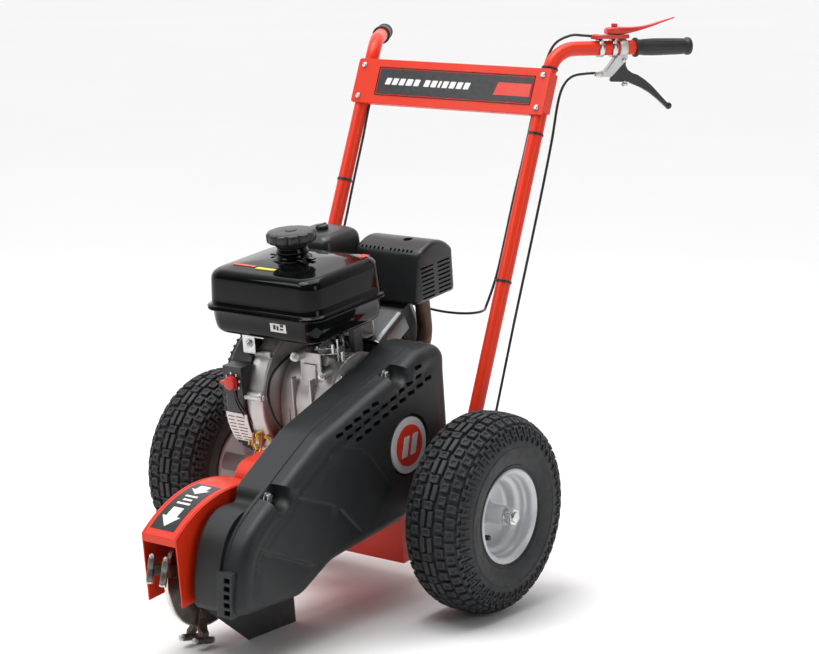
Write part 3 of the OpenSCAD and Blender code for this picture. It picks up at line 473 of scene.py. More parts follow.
PINK = material("pink_film", (0.62, 0.22, 0.22), 0.4, grain=(300, 0.05), mottle=(20, 0.1))
CARBON = material("woven_plate", (0.018, 0.019, 0.021), 0.34, grain=(300, 0.03),
                  mottle=(120, 0.5))

# ---------- camera, floor and light ----------

# Where the photograph's camera stood, in metres, with the wheels' real size as the scale
CAMERA_AT = (2.679, -3.3917, 1.339)
CAMERA_AZIMUTH = math.radians(36.89)
CAMERA_DOWN = math.radians(10.95)


def look(azimuth, down):
    return Vector((-math.sin(azimuth) * math.cos(down), math.cos(azimuth) * math.cos(down),
                   -math.sin(down)))


lens = bpy.data.cameras.new("camera")
lens.lens, lens.sensor_width, lens.clip_end = 100, 36, 200
camera = add_object("camera", lens)
camera.location = CAMERA_AT
camera.rotation_euler = look(CAMERA_AZIMUTH, CAMERA_DOWN).to_track_quat("-Z", "Y").to_euler()
bpy.context.scene.camera = camera

FLOOR = material("pale_floor", (0.92, 0.92, 0.92), 0.8, grain=(60, 0.02), mottle=(0.5, 0.01))
FLOOR_REACH = 90
floor_mesh = bpy.data.meshes.new("floor")
floor_corners = corners((-FLOOR_REACH, -FLOOR_REACH), (FLOOR_REACH, FLOOR_REACH))
floor_mesh.from_pydata([(x, y, 0) for x, y in floor_corners], [], [(0, 1, 2, 3)])
floor_mesh.materials.append(FLOOR)
floor = add_object("floor", floor_mesh)

# The sky is dim behind the camera and bright in front of it, so that the shine has a dark side
SKY_DIM, SKY_BRIGHT = 0.08, 1.2
world = bpy.data.worlds.new("studio")
world.use_nodes = True
nodes, links = world.node_tree.nodes, world.node_tree.links
toward = nodes.new("ShaderNodeVectorMath")
toward.operation = "DOT_PRODUCT"
toward.inputs[1].default_value = look(CAMERA_AZIMUTH, 0)
links.new(nodes.new("ShaderNodeTexCoord").outputs["Generated"], toward.inputs[0])
background = nodes["Background"]
background.inputs["Color"].default_value = (1, 1, 1, 1)
links.new(remap(world.node_tree, toward.outputs["Value"], -0.1, 0.7, SKY_DIM, SKY_BRIGHT),
          background.inputs["Strength"])
bpy.context.scene.world = world
bpy.context.scene.view_settings.view_transform = "Standard"


def lamp_at(name, kind, at, aim, power):
    data = bpy.data.lights.new(name, kind)
    data.energy = power
    lamp = add_object(name, data)
    lamp.location = at
    lamp.rotation_euler = (Vector(aim) - Vector(at)).to_track_quat("-Z", "Y").to_euler()
    return data


def softbox(name, at, aim, size, power):
    """A rectangular lamp: size is its two sides in metres, power is in watts."""
    data = lamp_at(name, "AREA", at, aim, power)
    data.shape = "RECTANGLE"
    data.size, data.size_y = size


sun = lamp_at("sun", "SUN", (-1.2, -1.6, 5), (0, 0, 0), 1.9)
sun.angle = math.radians(35)
softbox("key", (-1.6, -2.6, 2.6), (0, -0.1, 0.4), (1.6, 1.2), 24)
softbox("side", (3.0, -0.4, 1.6), (0.1, 0, 0.4), (1.0, 1.6), 12)
softbox("overhead", (0.1, 0.3, 2.9), (0, 0, 0.3), (1.8, 2.2), 38)


# ---------- wheels ----------

SIDES = ((1, "left"), (-1, "right"))
WHEEL_X, LUG = 320.5, 7.5
CARCASS = [(182.6, 0), (182.2, 14), (180.8, 28), (177.2, 41), (170, 51.5), (160, 59), (148, 63.5),
           (134, 65.5),
           (118, 64), (104, 60.5), (94, 57), (86, 53.5), (79, 49)]
PITCHES = 24  # repeats of the tread round the tyre


def carcass_table():
    """Points about 1.5 mm apart from the crown to the bead: (distance from the crown, radius, across)."""
    path = smooth_path([(x, r, 0) for r, x in CARCASS], 1.5)
    table, run = [], 0.0
    for i, p in enumerate(path):
        run += (p - path[i - 1]).length if i else 0
        table.append((run, p.y, p.x))
    return table


PROFILE = carcass_table()


def tyre_point(s, turn, lift):
    """A point on the carcass, s millimetres from the crown towards the bead, raised by lift."""
    away = min(abs(s), PROFILE[-1][0] - 2)
    k = next(i for i, row in enumerate(PROFILE) if row[0] >= away)
    k = min(max(k, 1), len(PROFILE) - 2)
    (s0, r0, x0), (s1, r1, x1) = PROFILE[k - 1], PROFILE[k]
    t = (away - s0) / (s1 - s0)
    r, x = r0 + (r1 - r0) * t, x0 + (x1 - x0) * t
    (_, ra, xa), (_, rb, xb) = PROFILE[k - 1], PROFILE[k + 1]
    length = math.hypot(rb - ra, xb - xa)
    r += lift * (xb - xa) / length
    x -= lift * (rb - ra) / length
    x = x if s >= 0 else -x
    return Vector((x, r * math.cos(turn), r * math.sin(turn)))


def lug(bm, s0, s1, turn, length, height, dimple=True):
    """One tread block: tapered sides, and a square dimple in its top."""
    r_here = math.hypot(*tyre_point((s0 + s1) / 2, 0, 0).yz)
    half = length / 2 / r_here
    mid = (s0 + s1) / 2

    def ring(shrink, lift):
        a, b = mid + (s0 - mid) * shrink, mid + (s1 - mid) * shrink
        return [tyre_point(s, turn + side * half * shrink, lift)
                for s, side in ((a, -1), (a, 1), (b, 1), (b, -1))]

    rings = [ring(1.06, -1.5), ring(0.9, height)]
    if dimple:
        rings += [ring(0.48, height - 0.3), ring(0.4, height - 2.6)]
    add_loops(bm, rings)


def tread(bm):
    step = 2 * math.pi / PITCHES
    for i in range(PITCHES):
        turn = i * step
        for s in (-7.5, 7.5):
            lug(bm, s - 5, s + 5, turn, 30, LUG, False)
        lug(bm, -9.5, 9.5, turn + step / 2, 15, LUG)
        for side in (-1, 1):
            near = turn if side > 0 else turn + step / 4
            for half in (0, 0.5):
                at = near + (half + 0.25) * step
                lug(bm, side * 17.5, side * 33.5, at, 16.5, LUG - 0.2)
                lug(bm, side * 37.5, side * 53, at + step / 4, 15.5, LUG - 0.8)
                lug(bm, side * 56.5, side * 61, at, 15, 5.6, False)
                for edge in (-1, 1):
                    lug(bm, side * 56.5, side * (86 if edge > 0 else 79), at + edge * step * 0.105, 4.6,
                        4.6,
                        False)
                lug(bm, side * 64, side * 75, at + step / 4, 11, 4.8)


def carcass(bm):
    outer = [(r, x) for _, r, x in PROFILE[::2]]
    ring = [(79, 43), (92, 48), (130, 56), (165, 46), (172, 20)]
    outline = [(r, -x) for r, x in outer[::-1]] + outer[1:]
    outline += ring + [(r, -x) for r, x in ring[::-1]]
    turned(bm, outline, "X", 96)
    for side in (-1, 1):
        for r, x in ((97, 59.3), (131, 66.0)):
            turned(bm, [(r - 1.4, side * (x - 1)), (r, side * (x + 0.7)), (r + 1.4, side * (x - 1))], "X",
                   96)


def valve(bm):
    turned(bm, [(0, 4), (6.2, 4), (6.2, 9), (4.6, 11), (4.6, 26), (5.2, 26.5), (5.2, 34), (4.2, 35.5),
                (0, 35.5)],
           "X", 20, at=(0, -38, -34))


def rim_shell(bm):
    """Rolled flanges, stepped bead seats, a drop centre and the dished web, revolved in one go."""
    outer = [(90, 57), (90, 54.6), (84, 53.2), (79.4, 51), (79, 28), (67, 22), (67, -22), (79, -28),
             (79.4, -51), (84, -53.2), (90, -54.6), (90, -57), (87, -59), (80, -55), (77, -43), (72, -38),
             (64, -29), (61, -20), (61, -4), (54, 0), (18, -1)]
    web = [(18, 3), (30, 3.4), (52, 3.8), (58.5, 6), (61, 10.5), (62.2, 20), (65, 25.5), (71, 28.2),
           (73.4, 32), (74.2, 37), (77.6, 42), (78.4, 49), (80, 53), (83.5, 56.2), (87, 59.2)]
    path = smooth_path([(x, r, 0) for r, x in web], 1.6)
    turned(bm, [(p.y, p.x) for p in path] + outer, "X", 96)


def hub(bm):
    turned(bm, [(13.2, -68), (17.2, -68), (18, -67.2), (18, 46.5), (17.2, 49.3), (13.2, 49.3)], "X", 48)
    turned(bm, [(17.5, 2), (23, 3.2), (20.5, 5.6), (18, 9.5), (17.5, 9)], "X", 48)


def axle_end(bm):
    turned(bm, [(10, 49.8), (16.5, 49.8), (16.8, 50.6), (16.5, 52.6), (10, 52.6)], "X", 40)
    add_loops(bm, [circle_points(Vector((x, 0, 0)), ACROSS, UPWARD, r, 6, 12)
                   for x, r in ((52.6, 15.2), (53.4, 16.4), (62, 16.4), (63, 15))])
    turned(bm, [(0, 70.5), (5.5, 69.8), (9.6, 67.3), (11.8, 63.2), (12, 61), (0, 61)], "X", 32)


for side, word in SIDES:
    place = CHASSIS @ (MIRROR if side < 0 else Matrix.Identity(4)) @ Matrix.Translation((WHEEL_X, 0, 0))
    body = f"wheel_{word}"
    piece(f"carcass_{word}", carcass, RUBBER, place, body, replaces=(f"tyre_{word}",), angle=50)
    piece(f"tread_{word}", tread, RUBBER, place, body, bevel=0.8, segments=1)
    piece(f"rim_shell_{word}", rim_shell, SILVER, place, body, replaces=(f"rim_{word}",), angle=50)
    piece(f"hub_{word}", hub, SILVER, place, body, angle=40)
    piece(f"valve_{word}", valve, PLASTIC_SMOOTH, place, body, angle=40)
    piece(f"axle_end_{word}", axle_end, ZINC, place, bevel=0.5, angle=40)

# ---------- belt guard ----------

GUARD_X0, SEAM_X, COVER_X = 84, 146, 198
GUARD_BOLTS = [(-62, 263), (-418, 141)]
BADGE_AT = (-55, 130)
GUARD_REAR = [(-525, -38), (-387, -53), (-300, -20), (-262, -18), (-70, -15), (-30, 28), (60, 40), (80, 60),
              (80, 246),
              *arc(48, 264, 34, 0, 90, 5), (4, 299), (-60, 276), (-150, 256), (-290, 222)]
COVER_NOSE = [(-372, 183), (-423, 156), (-473, 131), (-504, 111), (-523, 90), (-537, 65), (-547, 38),
              (-555, 0),
              (-558, -28)]
INNER_NOSE = [(-414, 160), (-425, 150), (-431, 129), (-452, 133), (-477, 134), (-504, 123), (-526, 101),
              (-542, 72),
              (-553, 34), (-560, -4), (-560, -28)]
COVER, INNER = GUARD_REAR + COVER_NOSE, GUARD_REAR + INNER_NOSE


def ring_at(outline, x):
    return [(x, y, z) for y, z in outline]


SHOULDER, FACE_STEP = 24, 6
COVER_TOP = [(4, 299), (-60, 276), (-150, 256), (-290, 222), *COVER_NOSE[:7]]
# Creases moulded into the face: start, end and how far the lower side drops
CREASES = [((-502, 80), (-350, -4), 5.0), ((-404, 148), (-276, 84), 4.0), ((-276, 84), (-208, 6), 4.0),
           ((-285, 205), (-184, 161), 3.0), ((-184, 161), (-116, 66), 3.4)]


def ease(t):
    t = min(1.0, max(0.0, t))
    return t * t * (3 - 2 * t)


def beside(at, a, b):
    """A point's place along the line a-b (0 to 1), its side distance, and its distance from the segment."""
    at, a, b = Vector(at), Vector(a), Vector(b)
    way = (b - a).normalized()
    along = (at - a).dot(way)
    side = (at - a).cross(way)
    near = a + way * min(max(along, 0), (b - a).length)
    return along / (b - a).length, side, (at - near).length


def cover_height(at, rim):
    """Stand-out of the cover's face: a valley below the top edge and creases that fade away."""
    top = min(beside(at, a, b)[2] for a, b in zip(COVER_TOP, COVER_TOP[1:]))
    drop = 3.0 * math.exp(-((top - 42) / 7) ** 2) - 1.2 * ease((top - 42) / 60)
    for a, b, depth in CREASES:
        t, side, _ = beside(at, a, b)
        fade = ease(t / 0.12) * ease((1 - t) / 0.12)
        drop += depth * fade * ease(0.5 + side / 6) * math.exp(-max(0.0, side) / 38)
    edge = min(beside(at, a, b)[2] for a, b in zip(rim, rim[1:] + rim[:1]))
    return COVER_X - 2.0 - drop * ease(edge / 16)


def inside(at, outline):
    y, z = at
    hit = False
    for (ay, az), (by, bz) in zip(outline, outline[1:] + outline[:1]):
        if (az > z) != (bz > z) and y < ay + (z - az) * (by - ay) / (bz - az):
            hit = not hit
    return hit


def cover_ring(d, x, outline=COVER):
    return ring_at(rounded(inset(outline, d), 12, 3), x)


def guard_cover(bm):
    """The outer half: a lip at the seam, a wide rounded shoulder and a creased face.

    The face is a net of small triangles, with extra points beside each crease.
    """
    rings = [cover_ring(3, SEAM_X + 0.3), cover_ring(0, SEAM_X + 0.3), cover_ring(0, SEAM_X + 7),
             cover_ring(1.6, SEAM_X + 8.6)]
    for k in range(9):
        a = math.radians(90 * k / 8)
        rings.append(cover_ring(1.8 + (SHOULDER - 1.8) * (1 - math.cos(a)),
                                COVER_X - 2 - SHOULDER + SHOULDER * math.sin(a)))
    bm.faces.new(add_loops(bm, rings, ends=False)[0][::-1])
    rim = [(y, z) for _, y, z in rings[-1]]
    inner = inset(rim, 3)
    dots = [(y, z) for y in range(-560, 90, FACE_STEP) for z in range(-60, 304, FACE_STEP)
            if inside((y, z), inner) and all(beside((y, z), a, b)[2] > FACE_STEP for a, b, _ in CREASES)]
    for a, b, _ in CREASES:
        a, b = Vector(a), Vector(b)
        way = (b - a).normalized()
        count = round((b - a).length / 5)
        dots += [tuple(a + (b - a) * k / count + s * Vector((way.y, -way.x)))
                 for k in range(1, count) for s in (-3, -1, 1, 3)]
    points, _, faces, *_ = delaunay_2d_cdt([Vector(p) for p in rim + dots], [],
                                           [list(range(len(rim)))], 1, 0.001)
    spots = [bm.verts.new((cover_height(p, rim), p[0], p[1])) for p in points]
    for face in faces:
        bm.faces.new([spots[i] for i in face])
    bmesh.ops.remove_doubles(bm, verts=bm.verts, dist=0.02)


VENT_AT, VENT_STEP, VENT_CLIMB, VENT_DROP = (-254, 212), 27, 6.5, 11.5


def vent_slots(bm):
    """Three stepped rows of slanted slots. The top row leaves out four beside a bolt pocket."""
    turn = math.radians(5)
    for row in range(3):
        for col in range(10):
            if (row == 0 and 5 <= col <= 8) or (row > 0 and col == 9):
                continue
            y = VENT_AT[0] + VENT_STEP * (col + row)
            z = VENT_AT[1] + VENT_CLIMB * col - VENT_DROP * row
            slot = rounded([(-10, -3.9), (10, -3.9), (10, 3.9), (-10, 3.9)], 2.4, 3)
            prism(bm, [(y + a * math.cos(turn) - b * math.sin(turn),
                        z + a * math.sin(turn) + b * math.cos(turn))
                       for a, b in slot], COVER_X - 26, COVER_X + 5)


def cover_pockets(bm):
    for y, z in GUARD_BOLTS:
        turned(bm, [(0, SEAM_X + 8), (20, SEAM_X + 8), (21, SEAM_X + 12), (21.5, COVER_X - 20),
                    (23, COVER_X - 11),
                    (27, COVER_X - 5.4), (34, COVER_X - 1.8), (42, COVER_X + 5), (0, COVER_X + 5)], "X", 48,
               at=(0, y, z + 7))
    turned(bm, [(0, COVER_X - 8.5), (57, COVER_X - 8.5), (60, COVER_X - 4), (60.5, COVER_X + 4),
                (0, COVER_X + 4)], "X", 72, at=(0, *BADGE_AT))


def cover_hollow(bm):
    """The space behind the cover's skin, so that the slots open into the dark."""
    prism(bm, [(-285, 176), (-150, 190), (60, 196), (72, 206), (72, 262), (44, 288), (8, 288), (-30, 276),
               (-34, 246),
               (-50, 240), (-76, 240), (-92, 246), (-96, 258), (-150, 248), (-285, 216)], SEAM_X - 2,
          COVER_X - 20)


def front_slots(bm):
    """Five short slots one above another in the pad at the front of the seam."""
    for k in range(5):
        box(bm, (SEAM_X + 14, -575, -26 + 14.4 * k), (SEAM_X + 27, -532, -17 + 14.4 * k))


def guard_inner(bm):
    rings = []
    for k in range(5):
        a = math.radians(22.5 * k)
        rings.append(cover_ring(8 * (1 - math.sin(a)) + 1.5, GUARD_X0 + 8 * (1 - math.cos(a)), INNER))
    rings += [cover_ring(1.5, SEAM_X - 5, INNER), cover_ring(0.4, SEAM_X - 4.4, INNER),
              cover_ring(0.4, SEAM_X - 0.3, INNER)]
    add_loops(bm, rings)


def inner_hollow(bm):
    prism(bm, rounded(inset(INNER, 5), 9, 3), GUARD_X0 + 4, SEAM_X - 5)


def inner_holes(bm):
    box(bm, (106, -526, -62), (144, -392, -30))
    turned(bm, [(0, GUARD_X0 - 2), (52, GUARD_X0 - 2), (52, GUARD_X0 + 6), (0, GUARD_X0 + 6)], "X", 64,
           at=(0, *CRANK_AT))
    turned(bm, [(0, GUARD_X0 - 2), (29, GUARD_X0 - 2), (29, GUARD_X0 + 6), (0, GUARD_X0 + 6)], "X", 48,
           at=(0, *CUTTER_AT))


def front_pad(bm):
    """The raised strip that holds the front slots."""
    add_loops(bm, [[(SEAM_X - 3, -540, z), (SEAM_X - 3, -562 + lean, z), (SEAM_X + 32, -562 + lean, z),
                    (SEAM_X + 32, -540, z)] for z, lean in ((-31, 0), (0, 1.5), (49, 9))])


def bolt_head(bm, at, r, height):
    """A flanged hexagon head facing +X, its top slightly domed."""
    x, y, z = at
    turned(bm, [(0, x), (r * 1.25, x), (r * 1.25, x + 1.2), (r * 1.02, x + 2), (0, x + 2)], "X", 32,
           at=(0, y, z))
    add_loops(bm, [circle_points(Vector((x + dx, y, z)), ACROSS, UPWARD, q, 6, 10)
                   for dx, q in ((1.5, r), (height - 0.8, r), (height, r * 0.88))])


def guard_screws(bm):
    for y, z in GUARD_BOLTS:
        rod(bm, (SEAM_X - 22, y, z), (SEAM_X + 9, y, z), 3)
        bolt_head(bm, (SEAM_X + 7.4, y, z), 9, 8)


def badge_plate(bm):
    turned(bm, [(0, COVER_X - 8), (54, COVER_X - 8), (54, COVER_X - 4), (52.5, COVER_X - 2.8),
                (0, COVER_X - 2.4)],
           "X", 96, at=(0, *BADGE_AT))


def badge_disc(bm):
    turned(bm, [(0, COVER_X - 3), (40, COVER_X - 3), (40, COVER_X - 2.2), (39, COVER_X - 1.6),
                (0, COVER_X - 1)],
           "X", 96, at=(0, *BADGE_AT))


def badge_mark(bm):
    """A plain mark: two slanted bars."""
    y, z = BADGE_AT
    for shift in (-13, 13):
        bar = [(shift - 14, -19), (shift + 2, -19), (shift + 14, 19), (shift - 2, 19)]
        prism(bm, rounded([(y + a, z + b) for a, b in bar], 2, 2), COVER_X - 2, COVER_X - 0.3)


piece("guard_cover_skin", guard_cover, PLASTIC, cut=(cover_hollow, vent_slots, cover_pockets, front_slots),
      replaces=("guard_cover",), bevel=0.7, angle=40)
piece("guard_inner_skin", guard_inner, PLASTIC, cut=(inner_hollow, inner_holes), replaces=("guard_inner",),
      bevel=0.5, angle=40)
piece("guard_front_pad", front_pad, PLASTIC, bevel=1, cut=(front_slots,))
piece("guard_screws", guard_screws, ZINC, replaces=("guard_bolts",), bevel=0.3)
piece("badge_plate", badge_plate, BADGE_SILVER, angle=30)
piece("badge_disc", badge_disc, DECAL_RED, angle=30)
piece("badge_mark", badge_mark, BADGE_SILVER, bevel=0.4)

# ---------- fuel tank ----------

TANK_AT, TANK_HALF, TANK_SEAM, TANK_TOP = (-47, -60), (140, 120), 389, 470


def tank_ring(z, d, corner):
    """A rounded rectangle round the tank, drawn in by d."""
    half = [h - d for h in TANK_HALF]
    return round_rect(TANK_AT, half, min(corner, *half), z, 7)


def tank_upper(bm):
    rings = [tank_ring(TANK_SEAM + z, d, r) for z, d, r in
             ((0.4, 9, 30), (0.4, 0.8, 36), (1.6, 0, 36), (3.4, 0.8, 36), (4, 5.6, 33), (6, 7.6, 32),
              (20, 8, 32))]
    rings.append(tank_ring(TANK_TOP - 28, 9.5, 32))
    for k in range(1, 8):
        a = math.radians(90 * k / 7)
        rings.append(tank_ring(TANK_TOP - 26 + 18 * math.sin(a), 10 + 19 * (1 - math.cos(a)), 32 - k * 0.6))
    rings += [tank_ring(TANK_TOP - z, d, r) for z, d, r in ((5, 44, 24), (2, 72, 14), (0.4, 100, 8))]
    add_loops(bm, rings)


def tank_lower(bm):
    rings = [tank_ring(TANK_SEAM - z, d, r) for z, d, r in
             ((0.4, 9, 30), (0.4, 0.8, 36), (1.8, 0, 36), (4, 0.5, 36), (4.6, 5.8, 33), (8, 8.4, 32),
              (26, 10, 31), (35, 11.4, 30))]
    for k in range(1, 7):
        a = math.radians(15 * k)
        rings.append(tank_ring(TANK_SEAM - 37 - 15.5 * math.sin(a), 12 + 16 * (1 - math.cos(a)), 30))
    add_loops(bm, rings[::-1])


def filler(bm):
    """Neck with its pressed clamp ring, ears and bleed nipple, all about the tank's middle."""
    x, y, top = *TANK_AT, TANK_TOP
    turned(bm, [(24, top - 3), (39, top - 3), (38.5, top + 1), (34, top + 2.4), (31, top + 5),
                (30, top + 10),
                (31.5, top + 12), (31.5, top + 16), (29.5, top + 18), (29, top + 23), (25, top + 23)],
           "Z", 48, at=(x, y, 0))
    rod(bm, (x + 33, y - 22, top + 3), (x + 50, y - 30, top + 5), 5, 16, 3.6)
    rod(bm, (x + 49, y - 29.5, top + 4.8), (x + 55, y - 32, top + 5.6), 4.6, 16)
    for ear in (x - 44, x + 44):
        box(bm, (ear - 8, y - 5, top + 1), (ear + 8, y + 5, top + 4))


def fuel_cap(bm):
    """Twelve finger flutes round a domed top."""
    def lobed(r, depth, z):
        ring = []
        for k in range(144):
            a = 2 * math.pi * k / 144
            out = r - depth * max(0.0, math.cos(12 * a)) ** 3
            ring.append((TANK_AT[0] + out * math.cos(a), TANK_AT[1] + out * math.sin(a), z))
        return ring

    low = TANK_TOP + 24.8
    add_loops(bm, [lobed(r, depth, low + z) for r, depth, z in
                   ((24, 0, 3), (24, 0, 0), (31, 0, 0), (33, 0, 3), (34, 0, 6.6), (42, 1.5, 7.4),
                    (46, 3.6, 9),
                    (47.6, 4.2, 12), (47.8, 4.2, 22), (46.8, 3.6, 25), (44, 1.8, 27.4), (39, 0.2, 28.4),
                    (24, 0, 29.2), (15, 0, 29.2))])


def cap_boss(bm):
    """The low six-sided boss on the cap."""
    hexagon = circle_points(Vector(TANK_AT), Vector((1, 0)), Vector((0, 1)), 12, 6)
    low = TANK_TOP + 53.4
    flat(bm, rounded(hexagon, 2, 2), low, low + 1.8)


def front_film(bm):
    """A blank white film on the lower shell's front."""
    add_loops(bm, [[(x, y - lean, z) for x, lean, z in
                    ((-22, -0.5, 358), (16, -0.5, 358), (16, 0.9, 383),
                     (-22, 0.9, 383))] for y in (-170.6, -169)])


def front_marks(bm):
    for low, high in (((-16, 376), (0, 379)), ((-14, 363), (-9, 372)), ((-6, 362), (-2, 370)),
                      ((2, 363), (9, 366)),
                      ((3, 369), (10, 374))):
        box(bm, (low[0], -171.6, low[1]), (high[0], -170, high[1]))


def tank_label(low, high, z, lift=0.35):
    """A film on the tank's top, between two corners."""
    return lambda bm: flat(bm, rounded(corners(low, high), 1.5, 2), z, z + lift)


piece("tank_upper_shell", tank_upper, BLACK_GLOSS, replaces=("tank_upper",), angle=55)
piece("tank_lower_shell", tank_lower, BLACK_GLOSS, replaces=("tank_lower",), angle=55)
piece("filler_neck", filler, BLACK_GLOSS, angle=45, bevel=0.6)
piece("fuel_cap_cover", fuel_cap, PLASTIC_SMOOTH, body="fuel_cap", replaces=("fuel_cap",), angle=50)
piece("fuel_cap_boss", cap_boss, PLASTIC_SMOOTH, body="fuel_cap", bevel=0.5)
piece("tank_film_red", tank_label((-136, -132), (-82, -124), TANK_TOP - 5.4, 2), DECAL_RED)
piece("tank_film_yellow", tank_label((-76, -138), (-30, -128), TANK_TOP - 6, 2), YELLOW)
piece("tank_film_far", tank_label((46, 14), (64, 34), TANK_TOP - 7.2), DECAL_RED)
piece("tank_film_front", front_film, WHITE, bevel=0.1)
piece("tank_film_marks", front_marks, DECAL_BLACK)

# ---------- cutting head ----------

BOOM_X, BOOM_FRONT, HOOD_PLATE = (-10, 72), -324, 3
HOOD_R, HOOD_AT = 242, (-430, -95)
HOOD_FRONT, HOOD_LOW, HOOD_BACK = -572, -27, -331


def hood_angle(y):
    return math.degrees(math.acos((y - HOOD_AT[0]) / HOOD_R))


def hood(bm):
    """Two cheeks and a rolled roof, with a turned-down lip at the front."""
    top = arc(*HOOD_AT, HOOD_R, hood_angle(HOOD_BACK), hood_angle(HOOD_FRONT), 28)
    cheek = [(HOOD_FRONT, HOOD_LOW), (BOOM_FRONT - 0.3, HOOD_LOW), (BOOM_FRONT - 0.3, 98), *top]
    for x in (BOOM_X[0], BOOM_X[1] - HOOD_PLATE):
        prism(bm, cheek, x, x + HOOD_PLATE)
    under = arc(*HOOD_AT, HOOD_R - HOOD_PLATE, hood_angle(HOOD_FRONT) - 0.9, hood_angle(HOOD_BACK), 28)
    prism(bm, [*top, (HOOD_FRONT, 86), (HOOD_FRONT + HOOD_PLATE, 86), *under],
          BOOM_X[0] + HOOD_PLATE + 0.02, BOOM_X[1] - HOOD_PLATE - 0.02)


def hood_weld(bm):
    """A ground weld bead along the two roof edges."""
    for x in (BOOM_X[0] + 4.2, BOOM_X[1] - 4.2):
        path = [(x, y, z) for y, z in arc(*HOOD_AT, HOOD_R - 0.2, hood_angle(HOOD_BACK) + 1,
                                          hood_angle(HOOD_FRONT) - 1, 20)]
        hose(bm, path, 1.1, 8, 8)


def hood_decal(bm):
    """A film that lies on the rolled roof."""
    outer = arc(*HOOD_AT, HOOD_R + 0.4, *DECAL_ARC, 14)
    inner = arc(*HOOD_AT, HOOD_R - 0.5, *DECAL_ARC[::-1], 14)
    prism(bm, outer + inner, DECAL_MID - DECAL_HALF, DECAL_MID + DECAL_HALF)


def roof_row(angle, half, lift):
    """Four corners of a mark's cross-section on the decal, at one angle round the roof."""
    (top,), (low,) = (arc(*HOOD_AT, r, angle, angle, 1)[:1] for r in (HOOD_R + lift, HOOD_R - 0.2))
    return [(DECAL_MID + x, *at) for x, at in ((-half, low), (-half, top), (half, top), (half, low))]


def roof_arrow(start, stop):
    """An arrow on the decal that points round the roof towards the front."""
    head = (start + stop) / 2
    rows = [(start + (head - start) * k / 5, 12) for k in range(5)] + [(head, 12)]
    rows += [(head + (stop - head) * k / 5, 21 - 20.4 * k / 5) for k in range(6)]
    return lambda bm: add_loops(bm, [roof_row(angle, half, 0.75) for angle, half in rows])


def decal_dashes(bm):
    """Three plain dashes where the real decal has its wording."""
    for k, half in enumerate((14, 10, 15)):
        angle = 100.6 + 2.7 * k
        add_loops(bm, [roof_row(a, half, 0.7) for a in (angle, angle + 1.2)])


DECAL_ARC, DECAL_MID, DECAL_HALF = (90, 122.5), 29, 28
piece("hood_plates", hood, RED, replaces=("cutter_hood",), bevel=0.8, angle=40)
piece("hood_welds", hood_weld, RED, angle=60)
piece("hood_decal", hood_decal, DECAL_BLACK, angle=20)
piece("hood_arrow_rear", roof_arrow(91.5, 99), WHITE, angle=20)
piece("hood_arrow_front", roof_arrow(109.5, 120.5), WHITE, angle=20)
piece("hood_dashes", decal_dashes, WHITE, angle=20)

# Teeth stand on both sides of the disc at four stations
TEETH_FROM, TEETH_STEP, TOOTH_R, TOOTH_OUT = 161.5, 90, 127, 16


def cutter_rim(bm):
    turned(bm, [(101.5, CUTTER_X - 4.6), (104.6, CUTTER_X - 4.2), (104.6, CUTTER_X + 4.2),
                (101.5, CUTTER_X + 4.6)], "X", 96)


def per_tooth(bm, draw):
    """Draws at each tooth: u outwards, w the way that the tooth moves."""
    for station in range(4):
        for side in (-1, 1):
            a = math.radians(TEETH_FROM + TEETH_STEP * station)
            u = Vector((0, math.cos(a), math.sin(a)))
            w = Vector((0, -math.sin(a), math.cos(a)))
            draw(bm, side, u, w)


def cutter_arms(bm):
    def arm(bm, side, u, w):
        path = [(6.5, 62), (7, 88), (7.5, 100), (13, 112), (15.8, 120)]
        rings = []
        for (x, r), half in zip(path, (12, 12, 11, 10, 9.5)):
            at = Vector((CUTTER_X + side * x, 0, 0)) + r * u
            thick = Vector((side * 3, 0, 0))
            rings.append([at - thick - half * w, at + thick - half * w, at + thick + half * w,
                          at - thick + half * w])
        add_loops(bm, rings)
    per_tooth(bm, arm)


def along_tooth(*parts):
    """Turned parts on each tooth's own line: ((along, radius) points, sides)."""
    def one(bm, side, u, w):
        mid = Vector((CUTTER_X + side * TOOTH_OUT, 0, 0)) + TOOTH_R * u
        for profile, sides in parts:
            add_loops(bm, [circle_points(mid + t * w, u, w.cross(u), r, sides) for t, r in profile])
    return lambda bm: per_tooth(bm, one)


BARREL = [(-20, 5.4), (-20, 6.2), (-19.2, 6.6), (-3, 6.6), (-2.2, 6.1), (2.2, 6.1), (3, 6.6), (19.2, 6.6),
          (20, 6.2), (20, 5.4)]
CARBIDE = [(20, 4.2), (20.6, 6.2), (24.2, 6.6), (25.0, 6.2), (25.1, 4.4), (24.4, 3.2)]
TOOTH_NUT = [(-20.1, 5.6), (-20.5, 6.2), (-25.3, 6.2), (-25.9, 5.5)]
NUT_END = [(-25.6, 3.9), (-27.2, 3.9), (-27.8, 3.3)]

piece("cutter_rim_ground", cutter_rim, BRIGHT_STEEL, CUTTER, "cutter", bevel=0.3)
piece("cutter_arms", cutter_arms, BROWN_STEEL, CUTTER, "cutter", bevel=1)
piece("cutter_barrels", along_tooth((BARREL, 28)), DARK_STEEL, CUTTER, "cutter", angle=40)
piece("tooth_tips", along_tooth((CARBIDE, 24)), ZINC, CUTTER, "cutter", replaces=("teeth",), angle=40)
piece("tooth_nut_faces", along_tooth((TOOTH_NUT, 6), (NUT_END, 20)), ZINC, CUTTER, "cutter",
      replaces=("tooth_nuts",), bevel=0.4)

# ---------- handle ----------

PANEL_LOW, PANEL_HIGH, PANEL_FRONT = 751, 845, -TUBE_D / 2 - 3.2
PANEL_HALF = TUBE_X + 17


